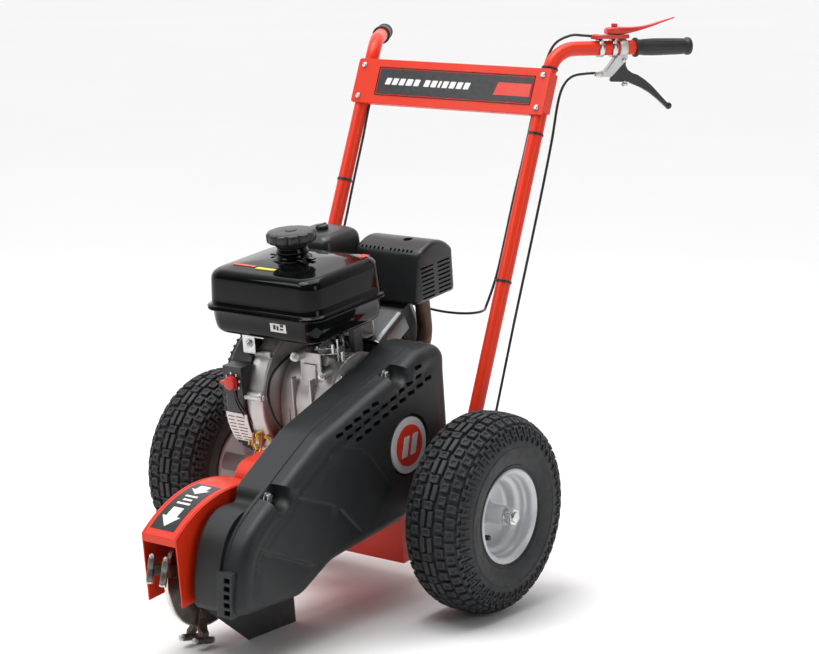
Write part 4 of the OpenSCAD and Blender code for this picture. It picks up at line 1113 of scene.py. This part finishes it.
def panel(bm):
    """Pressed sheet with turned edges and ears that wrap the tubes."""
    high = PANEL_HIGH - PANEL_LOW
    outline = rounded(corners((-PANEL_HALF, 0), (PANEL_HALF, high)), 7, 4)
    slab(bm, outline, PANEL_FRONT, PANEL_FRONT + 3)
    for z in (0.4, high - 3.4):
        box(bm, (18 - TUBE_X, PANEL_FRONT + 1, z), (TUBE_X - 18, PANEL_FRONT + 16, z + 3))
    for side in (-1, 1):
        x = side * (PANEL_HALF - 1.5)
        box(bm, (x - 1.5, PANEL_FRONT + 1, 7), (x + 1.5, PANEL_FRONT + 26, high - 7))


def nameplate(bm):
    slab(bm, rounded(corners((-176, 22), (200, 74)), 3, 3), PANEL_FRONT - 0.1, PANEL_FRONT - 1)


def nameplate_edge(bm):
    outer = corners((-179, 19), (203, 77))
    for (ax, az), (bx, bz) in zip(outer, outer[1:] + outer[:1]):
        rod(bm, (ax, PANEL_FRONT - 0.6, az), (bx, PANEL_FRONT - 0.6, bz), 0.9, 8)


def plate_word(bm):
    """Slanted white blocks in place of the wording: their widths, 0 for a gap."""
    at = -158
    for width in (13, 13, 13, 15, 13, 0, 13, 13, 6, 13, 13, 13, 13):
        if width:
            block = [(at, 41), (at + width, 41), (at + width + 4, 55), (at + 4, 55)]
            slab(bm, rounded(block, 1.4, 2), PANEL_FRONT - 0.8, PANEL_FRONT - 1.35)
        at += width + 4.5 if width else 8


def plate_block(bm):
    slab(bm, [(113, 34), (199, 34), (199, 60), (120, 60)], PANEL_FRONT - 0.8, PANEL_FRONT - 1.35)


def panel_screws(bm):
    for side in (-1, 1):
        for up in (14, PANEL_HIGH - PANEL_LOW - 14):
            at = (side * TUBE_X, PANEL_FRONT - 3.6, up)
            turned(bm, [(0, -0.6), (2.6, -0.5), (3.1, -0.9), (4.2, -0.6), (5.7, 1.2), (6.1, 2.6),
                        (6.1, 3.4), (0, 3.4)], "Y", 32, at=at)
            rod(bm, (at[0], at[1] + 3, up), (at[0], at[1] + 6.4, up), 3, 16)


def socket_bolts(bm):
    for x in (-TUBE_X, TUBE_X):
        for up in (30, 80):
            rod(bm, (x - 22, 0, up), (x + 26, 0, up), 4, 20)
            for ends in ((x - 23.2, x - 18.1), (x + 18.1, x + 24)):
                add_loops(bm, [circle_points(Vector((t, 0, up)), ACROSS, UPWARD, 7.2, 6) for t in ends])


piece("handle_panel_sheet", panel, RED, post(PANEL_LOW), replaces=("handle_panel",), bevel=0.9, angle=40)
piece("nameplate", nameplate, CARBON, post(PANEL_LOW), replaces=("badges",), bevel=0.3)
piece("nameplate_edge", nameplate_edge, DECAL_BLACK, post(PANEL_LOW))
piece("nameplate_blocks", plate_word, WHITE, post(PANEL_LOW))
piece("nameplate_red", plate_block, DECAL_RED, post(PANEL_LOW))
piece("panel_screws", panel_screws, ZINC, post(PANEL_LOW), replaces=("handle_bolts",), angle=40)
piece("socket_bolts", socket_bolts, ZINC, post(0), bevel=0.5)


def grip(bm):
    """Moulded grip: a collar at the bar end, a long waist with shallow finger ribs, and a rounded end."""
    rings = []
    stops = [(171, 14.6), (171, 18.2), (172, 19.2), (175.4, 19.2), (176.6, 18), (178, 16.2), (184, 15.4),
             (192, 16.2), (210, 17),
             (235, 16.8), (262, 16.3), (276, 15.9), (279.5, 15.2), (282, 15.3), (284, 17), (286, 17.6),
             (290, 17.7), (292.4, 16.6),
             (293.4, 13.5), (293.6, 6)]
    for z, r in stops:
        ribbed = 184 < z < 279
        ring = []
        for k in range(96):
            a = 2 * math.pi * k / 96
            dip = 0.55 * (1 + math.cos(16 * a)) / 2 if ribbed else 0
            ring.append((math.cos(a) * (r - dip), math.sin(a) * (r - dip), z))
        rings.append(ring)
    add_loops(bm, rings)


for side, word in SIDES:
    piece(f"grip_cover_{word}", grip, GRIP_RUBBER, along_bar(side), replaces=(f"grip_{word}",), angle=50)


def throttle_base(bm):
    """The upper block of the moulded clamp, and the cable socket."""
    outline = rounded([(-88, -13), (-60, -15), (-30, -15), (-14, -12), (-14, 12), (-30, 15), (-60, 15),
                       (-88, 13)], 5, 4)
    flat(bm, outline, 18.6, 26)
    rod(bm, (-92, 0, 23), (-78, 0, 22), 4.6, 24, 6)
    turned(bm, [(0, 41.6), (6, 41.6), (6.4, 42.4), (6.4, 46.4), (5.6, 48), (0, 48.3)], "Z", 24,
           at=(-43, 0, 0))


def throttle_blade(bm):
    """The lever: a deep body at its pivot that sweeps up and out into a thin blade.

    Each section is (along, low, high, half width) and has squared-off sides.
    """
    def squared(wave):
        return math.copysign(abs(wave) ** 0.55, wave)

    sections = [(-61, 27.5, 38, 9), (-56, 26.8, 40.6, 12.5), (-43, 26.4, 41.6, 14.6),
                (-28, 26.4, 41.2, 13.6),
                (-14, 28, 40.6, 11), (2, 31.4, 40.9, 9), (18, 35.4, 42.3, 7.6), (34, 39.8, 45, 7),
                (52, 45.6, 49.6, 6.4), (70, 51.4, 54.4, 5.6), (86, 56.3, 58.4, 4)]
    turns = [2 * math.pi * k / 20 for k in range(20)]
    add_loops(bm, [[(x, half * squared(math.cos(a)),
                     (low + high) / 2 + (high - low) / 2 * squared(math.sin(a)))
                    for a in turns] for x, low, high, half in sections])


def clamp_rings(bm):
    for x in (-74, -46):
        turned(bm, [(14.5, x - 5), (17.6, x - 5), (18.4, x - 4), (18.4, x + 4), (17.6, x + 5),
                    (14.5, x + 5)], "X", 48)
        rod(bm, (x, -14, 17), (x, -14, -4), 2.4, 16)


def brake_clamp(bm):
    turned(bm, [(14.4, -35), (17.8, -35), (18.4, -34), (18.4, -20), (17.8, -19), (14.4, -19)], "X", 48)
    rod(bm, (-27, 13, 16), (-27, 13, 34), 2.6, 16)
    turned(bm, [(0, 24), (4.6, 24), (4.6, 28.4), (0, 28.8)], "Z", 6, at=(-27, 13, 0))
    rod(bm, (-27, -10, 12), (-27, 15, 21), 4, 16)


def brake_arm(bm):
    """Cast bracket with two cheeks and the cable barrel."""
    cheek = rounded([(-36, -12), (-60, -43), (-70, -47), (-70, -56), (-52, -57), (-17, -21), (-17, -9)], 4,
                    4)
    for y in (-9.8, 5.4):
        slab(bm, cheek, y, y + 4.4)
    back = [(-37, -12), (-61, -43), (-70, -47), (-70, -56), (-57, -56.5), (-50, -48), (-36, -19)]
    slab(bm, rounded(back, 2, 3), -6, 6)
    turned(bm, [(2.6, -82), (4.4, -82), (5.2, -80), (5.2, -74), (6, -73), (6, -66), (2.6, -66)], "X", 32,
           at=(0, 0, -51.5))


def brake_blade(bm):
    """Lever: a broad web at the pivot, then a blade to its ball end, thinned at both faces."""
    web = [(-30, -17.6), (-25, -17.2), (-19.6, -19), (-18, -26), (-18.4, -34), (-14, -43), (-4, -50),
           (8, -54),
           (24, -64), (40, -77), (58, -95), (76, -113), (72, -121), (54, -105), (34, -90), (14, -79),
           (-4, -72),
           (-12, -68), (-49, -66.5), (-50.5, -62), (-32, -27)]
    small = inset(web[::-1], 0.8)[::-1]
    add_loops(bm, [[(x, y, z) for x, z in outline]
                   for y, outline in ((-5, small), (-3.6, web), (3.6, web), (5, small))])


def brake_ball(bm):
    profile = [(7 * math.sin(math.radians(a)),
                -7 * math.cos(math.radians(a)) * 0.86) for a in range(0, 181, 15)]
    turned(bm, profile, "Y", 28, at=(78, 0, -118))


def brake_pin(bm):
    turned(bm, [(0, -12.4), (3.2, -12.4), (4.4, -11.4), (4.4, -10), (2.4, -9.6), (2.4, 9.6), (4.4, 10),
                (4.4, 11.4), (3.2, 12.4), (0, 12.4)],
           "Y", 28, at=(-25, 0, -24))


def stud_pocket(bm):
    """The stepped hole in the lever that the lock stud slides in."""
    turned(bm, [(0, -80), (7.4, -80), (7.4, -65.6), (4.2, -65.6), (4.2, -46), (0, -46)], "Z", 28,
           at=(-19, 0, 0))


def lock_stud(bm):
    turned(bm, [(0, -76), (5.6, -76), (6.4, -75), (6.4, -70.8), (5.4, -69.8), (3.9, -69.4), (3.9, -50),
                (0, -50)], "Z", 28,
           at=(-19, 0, 0))
    for k in range(3):
        turned(bm, [(5.6, -74.6 + 1.6 * k), (6.9, -74.2 + 1.6 * k), (5.6, -73.8 + 1.6 * k)], "Z", 28,
               at=(-19, 0, 0))


piece("throttle_clamp_base", throttle_base, RED_PLASTIC, ON_BAR, replaces=("throttle_housing",), bevel=0.8)
piece("throttle_clamp_rings", clamp_rings, ZINC, ON_BAR, angle=40)
piece("throttle_blade", throttle_blade, RED_PLASTIC, ON_BAR, "throttle_lever", replaces=("throttle_lever",),
      angle=60)
piece("brake_clamp_ring", brake_clamp, CAST, ON_BAR, replaces=("brake_bracket",), angle=40)
piece("brake_arm_casting", brake_arm, CAST, ON_BAR, bevel=0.8, angle=40)
piece("brake_pivot_pin", brake_pin, ZINC, ON_BAR, angle=40)
piece("brake_blade", brake_blade, PLASTIC_SMOOTH, ON_BAR, "brake_lever", replaces=("brake_lever",),
      angle=50, cut=(stud_pocket,))
piece("brake_ball", brake_ball, PLASTIC_SMOOTH, ON_BAR, "brake_lever", angle=60)
piece("lock_stud", lock_stud, ZINC, ON_BAR, "lock_button", replaces=("lock_button",),
      angle=40)

# ---------- engine ----------

BLOWER = [(66, 96), (150, 190), (150, 238), (62, 330), *arc(-30, 200, 145, 113, 225, 24)]
FLANGE_X, BLOWER_X = -98, -141


def part_turn(bm, outline, start, stop, n=48):
    """Sweeps (radius, x) points about the crankshaft through part of a turn."""
    rings = []
    for i in range(n + 1):
        a = math.radians(start + (stop - start) * i / n)
        rings.append([(x, CRANK_AT[0] + r * math.cos(a), CRANK_AT[1] + r * math.sin(a)) for r,
                      x in outline])
    add_loops(bm, rings)


def at_turn(r, angle, x):
    a = math.radians(angle)
    return Vector((x, CRANK_AT[0] + r * math.cos(a), CRANK_AT[1] + r * math.sin(a)))


def blower_shell(bm):
    """Fan shroud with a wide rounded edge on its outer side."""
    rings = [ring_at(inset(BLOWER, 3), FLANGE_X), ring_at(BLOWER, FLANGE_X), ring_at(BLOWER, BLOWER_X)]
    for k in range(1, 6):
        a = math.radians(18 * k)
        rings.append(ring_at(inset(BLOWER, 9 * (1 - math.cos(a))), BLOWER_X - 9.5 * math.sin(a)))
    add_loops(bm, rings)


def fan_grille(bm):
    """The slotted rim of the starter's cover, outside the shroud."""
    part_turn(bm, [(60, BLOWER_X - 8), (133, BLOWER_X - 8), (133, BLOWER_X - 22), (129, BLOWER_X - 26),
                   (60, BLOWER_X - 26)], 0, 359, 72)
    for k in range(60):
        low, high = at_turn(134, 6 * k, BLOWER_X - 9), at_turn(134, 6 * k, BLOWER_X - 22)
        rod(bm, low, high, 3.2, 8)


def bell_flange(bm):
    """The crankcase's dished mounting flange behind the shroud."""
    part_turn(bm, [(86, -62), (100, -64), (112, -70), (121, -72), (126, -64), (130, -62), (133, -63),
                   (135, -66),
                   (138, -80), (140, -84), (140, FLANGE_X + 0.3), (60, FLANGE_X + 0.3), (60, -62)], 72, 262,
              64)


def crankcase(bm):
    """The barrel-shaped case on its ribbed block and base flange."""
    turned(bm, [(20, -62), (83, -62), (88, -57), (88, 61), (83, 66), (20, 66)], "X", 96, at=(0, *CRANK_AT))
    prism(bm, rounded([(-117, 88), (57, 88), (57, 200), (-117, 200)], 10, 4), -61, 65)
    box(bm, (-70, -132, 84.2), (74, 72, 96))
    for x in (-40, 4, 46):
        prism(bm, [(-126, 94), (-112, 94), (-112, 196), (-118, 196)], x - 2.5, x + 2.5)


def tank_posts(bm):
    for x in (-58, 44):
        box(bm, (x, -24, 262), (x + 14, 0, 337))


def case_bosses(bm):
    """Bolt bosses round the flange and on the case, each with a hollow."""
    for angle, r, size in ((100, 131, 11), (170, 142, 9), (212, 139, 9), (136, 140, 8), (86, 118, 9)):
        at = at_turn(r, angle, 0)
        turned(bm, [(0, FLANGE_X + 1), (size, FLANGE_X + 1), (size, -60), (size - 1.5, -58.5), (3.4, -58.5),
                    (3.4, -70), (0, -70)], "X", 24, at=(0, at.y, at.z))
    for x, y, z, size in ((-10, -124, 296, 10), (44, -112, 262, 8)):
        turned(bm, [(0, y + 34), (size, y + 34), (size, y + 1.5), (size - 1.5, y), (3.6, y), (3.6, y + 8),
                    (0, y + 8)],
               "Y", 24, at=(x, 0, z))
    box(bm, (-14, -104, 226), (36, -100, 302))
    rod(bm, (36, -88, 284), (36, -8, 264), 7.5, 24)
    rod(bm, (36, -92, 285), (36, -84, 283), 10, 24)
    box(bm, (-4, -108, 236), (26, -103, 280))
    box(bm, (-58, -130, 98), (66, -112, 148))
    box(bm, (-100, -148, 90), (-62, -70, 118))
    for x in (-24, 20):
        box(bm, (x - 2.5, -122, 150), (x + 2.5, -108, 252))


def case_bolts(bm):
    for at, way in ((at_turn(131, 100, -57), (1, 0, 0)), (at_turn(142, 170, -57), (1, 0, 0)),
                    (at_turn(139, 212, -57), (1, 0, 0)), (Vector((-96, -153, 320)), (0, -1, 0)),
                    (Vector((-10, -125, 296)), (0, -1, 0)), (Vector((44, -113, 262)), (0, -1, 0)),
                    (Vector((78, -88, 256)), (1, 0, 0))):
        way = Vector(way)
        rod(bm, at - way * 3, at + way * 1.2, 8, 24)
        rod(bm, at + way * 1, at + way * 5.5, 5.8, 6)
        rod(bm, at + way * 5.2, at + way * 7, 3.2, 16)


def tank_brackets(bm):
    for low, high in (((-112, -151, 302), (-82, -148.5, 346)), ((-112, -151, 300), (-82, -120, 303)),
                      ((-60, -150, 332), (-104, -120, 336.4))):
        box(bm, low, high)


def governor(bm):
    """Rods, an arm and a spring between the case and the carburettor."""
    for start, end, r, sides in (((48, -64, 262), (48, -64, 322), 2.4, 12),
                                 ((40, -60, 318), (-60, 60, 352), 1.1, 8),
                                 ((46, -52, 306), (-40, 50, 346), 0.9, 8)):
        rod(bm, start, end, r, sides)
    for low, high in (((44, -70, 296), (47, -40, 304)), ((30, -66, 286), (60, -36, 288)),
                      ((18, -92, 292), (22, -58, 312))):
        box(bm, low, high)
    for start, end, r in (((16, -94, 306), (40, -56, 300), 1.6), ((24, -96, 296), (54, -52, 292), 2.2),
                          ((52, -84, 300), (52, -84, 318), 3), ((58, -40, 296), (20, -10, 312), 1.4),
                          ((34, -30, 286), (34, -30, 312), 2.6), ((60, -66, 280), (60, -66, 300), 4)):
        rod(bm, start, end, r, 14)
    coil = [(38 - 30 * t + 3.2 * math.cos(t * 88), -40 + 40 * t, 312 + 8 * t + 3.2 * math.sin(t * 88))
            for t in (i / 90 for i in range(91))]
    hose(bm, coil, 0.6, 6, 3)


def earth_wire(bm):
    hose(bm, [(-34, -62, 290), (-50, -92, 284), (-60, -128, 262), (-61, -146, 236), (-57, -152, 205),
              (-44, -150, 168), (-22, -142, 132), (4, -138, 108), (14, -128, 96)], 2.6, 10, 5)
    hose(bm, [(-108, -190, 236), (-104, -186, 212), (-97, -172, 182), (-90, -160, 156), (-84, -152, 136)],
         2.4, 10, 5)
    hose(bm, [(-112, -190, 236), (-110, -186, 210), (-104, -176, 184), (-96, -163, 158), (-90, -152, 138)],
         1.8, 8, 5)


def wire_tails(seed, count, length):
    """Loose wire ends under the switch box, scattered by their own seed."""
    rng = random.Random(seed)

    def draw(bm):
        for _ in range(count):
            start = Vector((-85 + rng.uniform(-14, 14), -152 + rng.uniform(-6, 6),
                            143 + rng.uniform(-8, 8)))
            bend = start + Vector((rng.uniform(-13, 18), rng.uniform(-14, 2), rng.uniform(-18, 2)))
            end = bend + Vector((rng.uniform(-9, 9), rng.uniform(-9, 2), -length + rng.uniform(-6, 6)))
            hose(bm, [start, bend, end], 2.1, 8, 4)
    return draw


def shroud_label(bm):
    rows = [[at_turn(147.2 + lift, angle, x) + Vector((0, 0, 2)) for x, lift in
             ((-148, 0), (-96, 0), (-96, -1.5), (-148, -1.5))] for angle in range(186, 214, 2)]
    add_loops(bm, rows)


def label_lines(bm):
    for k, angle in enumerate(range(189, 211, 3)):
        for x0, x1 in ((-144, -128 - 2 * (k % 2)), (-124, -102 - 3 * (k % 3))):
            rows = [[at_turn(147.4 + lift, angle + turn, x) + Vector((0, 0, 2)) for x, lift in
                     ((x0, 0.15), (x1, 0.15), (x1, -0.3), (x0, -0.3))] for turn in (-0.35, 0.35)]
            add_loops(bm, rows)


def switch_face(bm):
    """Ring of small moulded marks round the knob."""
    for k in range(8):
        a = math.radians(45 * k + 10)
        box(bm, (-112 + 17.5 * math.cos(a) - 1.4, -190, 252 + 17.5 * math.sin(a) - 2.2),
            (-112 + 17.5 * math.cos(a) + 1.4, -188.4, 252 + 17.5 * math.sin(a) + 2.2))


def switch_knob(bm):
    at = (-112, 0, 252)
    turned(bm, [(0, -180), (3.9, -180), (3.9, -189.4), (13, -189.4), (13.5, -190.5), (13.5, -199),
                (12.2, -201.5),
                (9, -202.6), (0, -203)], "Y", 36, at=at)
    rows = [[(-112 + x, y, 252 + z) for x,
             z in ((-2, -5 + s), (-20, -3.4 + s), (-24, 0), (-20, 3.4 - s), (-2, 5 - s))]
            for y, s in ((-202, 0.8), (-200.6, 0), (-194, 0), (-192.8, 0.8))]
    add_loops(bm, rows)


def rib_ring(bm):
    """Cooling slots' ribs on the recoil cover and its raised middle."""
    for k in range(24):
        a = 15 * k
        rod(bm, at_turn(50, a, -170.5), at_turn(84, a, -170.5), 1.6, 8)
    turned(bm, [(0, -175.6), (30, -175.6), (42, -173.8), (46, -170), (46, -166), (0, -166)], "X", 48,
           at=(0, CRANK_AT[0], CRANK_AT[1]))


piece("blower_shell", blower_shell, BLACK_PAINT, replaces=("blower_housing",), angle=40)
piece("fan_grille", fan_grille, PLASTIC_SMOOTH, angle=40)
piece("bell_flange", bell_flange, CAST, bevel=0.8, angle=40)
piece("crankcase_body", crankcase, CAST, replaces=("crankcase",), bevel=1.6, angle=40)
# The tank posts wear the cast alloy with painted shade.
piece("tank_posts", tank_posts, CAST_PAINTED_SHADE, bevel=1)
piece("case_bosses", case_bosses, CAST, bevel=1.2, angle=35)
piece("case_bolts", case_bolts, ZINC, bevel=0.4)
piece("tank_brackets", tank_brackets, ZINC, bevel=0.8)
piece("governor", governor, ZINC, bevel=0.3)
piece("earth_wire", earth_wire, CABLE, angle=60)
piece("wire_tails_green", wire_tails(3, 6, 8), GREEN, angle=60)
piece("wire_tails_yellow", wire_tails(5, 10, 16), YELLOW, angle=60)
piece("wire_tails_pink", wire_tails(8, 7, 24), PINK, angle=60)
piece("shroud_label", shroud_label, WHITE, angle=40)
piece("label_lines", label_lines, DECAL_BLACK, angle=40)
piece("switch_face", switch_face, WHITE, bevel=0.2)
piece("switch_knob_cap", switch_knob, RED_PLASTIC, body="switch_knob", replaces=("switch_knob",), bevel=0.6,
      angle=40)
piece("recoil_ribs", rib_ring, PLASTIC_SMOOTH, bevel=0.5)

# ---------- exhaust and intake ----------

MUFFLER_X, MUFFLER_FAR = -62, 100
SHIELD = [(126, 342), (250, 342), (250, 424), *arc(192, 380, 76, 40, 128, 12)]


def muffler_cover(bm):
    """A can with wide rounded edges on both faces."""
    def ring(x_face, inward, k):
        a = math.radians(15 * k)
        return ring_at(rounded(inset(SHIELD, 9 - 9 * math.sin(a)), 8, 3),
                       x_face + inward * (9 - 9 * math.cos(a)))

    add_loops(bm, [ring(MUFFLER_X, 1, k) for k in range(7)] + [ring(MUFFLER_FAR, -1,
                                                                    k) for k in range(6, -1, -1)])


def louvre_cuts(bm):
    """Two columns of slots in the near face."""
    for y in (143, 196):
        for row in range(8):
            z = 349 + 8.6 * row
            prism(bm, rounded(corners((y, z), (y + 40, z + 3.6)), 1.7, 2), 88, 104)


def top_slots(bm):
    """Two groups of small slots along the top of the front face, and a dimple."""
    for x in (*range(-48, 12, 10), *range(22, 82, 10)):
        box(bm, (x, 132, 440), (x + 4.6, 162, 444.5))
    turned(bm, [(0, 449), (9, 449), (10, 462), (0, 462)], "Z", 24, at=(40, 186, 0))


def muffler_inside(bm):
    box(bm, (MUFFLER_X + 18, 158, 346), (84, 240, 402))


def exhaust_pipe(bm):
    hose(bm, [(52, 150, 236), (68, 156, 240), (76, 164, 254), (78, 170, 280), (76, 172, 312),
              (74, 172, 350)], 15, 24, 4)
    rod(bm, (46, 147, 234), (54, 150, 236), 24, 24)


def heat_shield(bm):
    """A folded sheet over the barrel, its near edge turned down."""
    edge = [(-30, 58), (-30, 60), (58, 60), (65, 59), (70, 55), (72, 49), (72, 20), (70, 20), (70, 48.5),
            (68, 53.4), (64, 56.8), (58, 58)]
    slab(bm, edge, 96, 184)


def shield_edge(bm):
    slab(bm, [(72.6, 20), (72.6, 50), (70, 57), (62, 60.8), (61, 60), (68, 56), (71.2, 49), (71.2, 20)],
         95.4, 98)


CLEANER_AT, CLEANER_HALF, CLEANER_Z = (-123, 123), 56, 388


def cleaner_ring(z, half_x, half_y, r):
    return round_rect(CLEANER_AT, (half_x, half_y), r, CLEANER_Z + z, 6)


def cleaner_cover(bm):
    half = CLEANER_HALF
    rings = [cleaner_ring(z, half - d, half - d, 14 - d / 2) for z,
             d in ((0, 3), (0, 0.6), (2, 0), (60, 0.8))]
    rings += [cleaner_ring(z, half - d, half - 1.1 * d, 14) for z, d in
              ((70, 1.4), (75, 2.6), (79, 4.6), (82.6, 7.6), (85.6, 11.6), (87.4, 16), (88, 21))]
    add_loops(bm, rings)


def cleaner_base(bm):
    x, y = CLEANER_AT
    box(bm, (x - 50, y - 50, CLEANER_Z - 4), (x + 50, y + 50, CLEANER_Z))
    box(bm, (x, 92, CLEANER_Z - 4), (-64, 130, CLEANER_Z - 0.4))
    for x, y in ((-168, 68), (-86, 68), (-168, 170), (-86, 170)):
        rod(bm, (x, y, CLEANER_Z - 10), (x, y, CLEANER_Z + 6), 4, 12)


def cleaner_knob(bm):
    x, y, top = *CLEANER_AT, CLEANER_Z + 88
    turned(bm, [(0, top - 2), (11, top - 2), (13, top + 1), (13, top + 7), (11, top + 9), (0, top + 9.5)],
           "Z", 32,
           at=(x, y, 0))
    box(bm, (x - 2.5, y - 12, top + 6), (x + 2.5, y + 12, top + 10.6))


piece("muffler_cover", muffler_cover, BLACK_PAINT, replaces=("muffler",), angle=40,
      cut=(louvre_cuts, top_slots))
piece("muffler_core", muffler_inside, DARK_STEEL, bevel=6, segments=3)
piece("exhaust_pipe", exhaust_pipe, BROWN_STEEL, angle=50)
piece("heat_shield", heat_shield, SHIELD_SHEET, CYLINDER, angle=40)
piece("shield_edge", shield_edge, ZINC, CYLINDER, angle=40)
piece("cleaner_cover", cleaner_cover, PLASTIC_SMOOTH, replaces=("air_cleaner",), angle=50)
piece("cleaner_base", cleaner_base, PLASTIC_SMOOTH, bevel=0.8)
piece("cleaner_knob", cleaner_knob, PLASTIC_SMOOTH, bevel=0.8)

# ---------- cables ----------

THROTTLE_ROUTE = [(266, 532, 805), (252, 515, 809), (236, 499, 811), (213, 478, 798), (204, 456, 766),
                  (200, 432, 720),
                  (199, 403, 663), (199, 366, 592), (200, 326, 524), (200, 290, 454), (199, 254, 384),
                  (190, 228, 330), (160, 252, 305), (110, 262, 292), (50, 262, 290), (-10, 254, 300),
                  (-56, 232, 322), (-92, 196, 342), (-104, 160, 351), (-104, 141, 351)]
BRAKE_ROUTE = [(268, 549, 729), (252, 528, 731), (236, 500, 730), (230, 474, 716), (233, 446, 686),
               (238, 412, 622), (240, 372, 544), (240, 330, 460), (240, 288, 378), (240, 246, 296),
               (241, 206, 218), (242, 168, 144), (243, 134, 80), (244, 108, 34), (250, 92, 8), (257, 85, 0)]
LEAD_ROUTE = [(196, 442, 736), (120, 436, 730), (0, 434, 728), (-120, 434, 728), (-180, 432, 722),
              (-202, 412, 684), (-202, 370, 600), (-202, 330, 520), (-201, 290, 440), (-198, 250, 376),
              (-184, 214, 318), (-158, 178, 258), (-130, 153, 218)]


def hoses(*routes, step):
    """Cables of 5.2 mm along routes, in steps of about `step` millimetres."""
    def draw(bm):
        for route, each in zip(routes, step):
            hose(bm, route, 2.6, 12, each)
    return draw


def top_tie(bm):
    turned(bm, [(14.4, -2.2), (16.4, -2.2), (16.4, 2.2), (14.4, 2.2)], "Z", 40, at=(TUBE_X, 0, 0))


piece("top_tie", top_tie, CABLE, post(849), bevel=0.4)
piece("throttle_hose", hoses(THROTTLE_ROUTE, LEAD_ROUTE, step=(7, 9)), CABLE, replaces=("throttle_cable",),
      angle=60)
piece("brake_hose", hoses(BRAKE_ROUTE, step=(8,)), CABLE, replaces=("brake_cable",), angle=60)

# ---------- remaining CAD nodes, with their edges softened ----------

BODY_OF = {node: body for body, nodes in frame["record"]["behaviour"]["bodies"].items() for node in nodes}

for node, finish, bevel in (
        ("frame", RED, 1.6), ("boom", RED, 1.2), ("handle_left", RED, 0.6), ("handle_right", RED, 0.6),
        ("shoe_guide", RED, 0.8), ("axle", ZINC, 1.0), ("axle_nuts", ZINC, 0.8), ("brake_drum", ZINC, 0.5),
        ("brake_shoe", DARK_STEEL, 0.5), ("cutter_shaft", DARK_STEEL, 0.8),
                            ("cutter_disc", DARK_STEEL, 1.2),
        ("cutter_bearings", DARK_STEEL, 1.0), ("driven_pulley", ZINC, 0.5), ("clutch_pulley", ZINC, 0.5),
        ("drive_belt", CABLE, 0.5), ("side_cover", CAST, 1.2),
        # The cylinder wears the cast alloy with painted shade.
        ("crankshaft", DARK_STEEL, 0.6), ("flywheel", CAST, 0.8), ("cylinder", CAST_PAINTED_SHADE, 0.8),
        ("carburettor", CAST, 1.2), ("recoil_starter", PLASTIC_SMOOTH, 1.5),
                            ("starter_grip", PLASTIC_SMOOTH, 1.5),
        ("throttle_arm", ZINC, 0.3), ("choke_lever", PLASTIC_SMOOTH, 0.6),
        ("switch_box", PLASTIC_SMOOTH, 3.0), ("oil_cap", PLASTIC_SMOOTH, 1.2),
                            ("cable_ties", PLASTIC_SMOOTH, 0.5),
        ("belt_pan", PAN, 0.8), ("hub_bushes_left", BRONZE, 0.3), ("hub_bushes_right", BRONZE, 0.3)):
    softened(node, finish, bevel, BODY_OF[node])
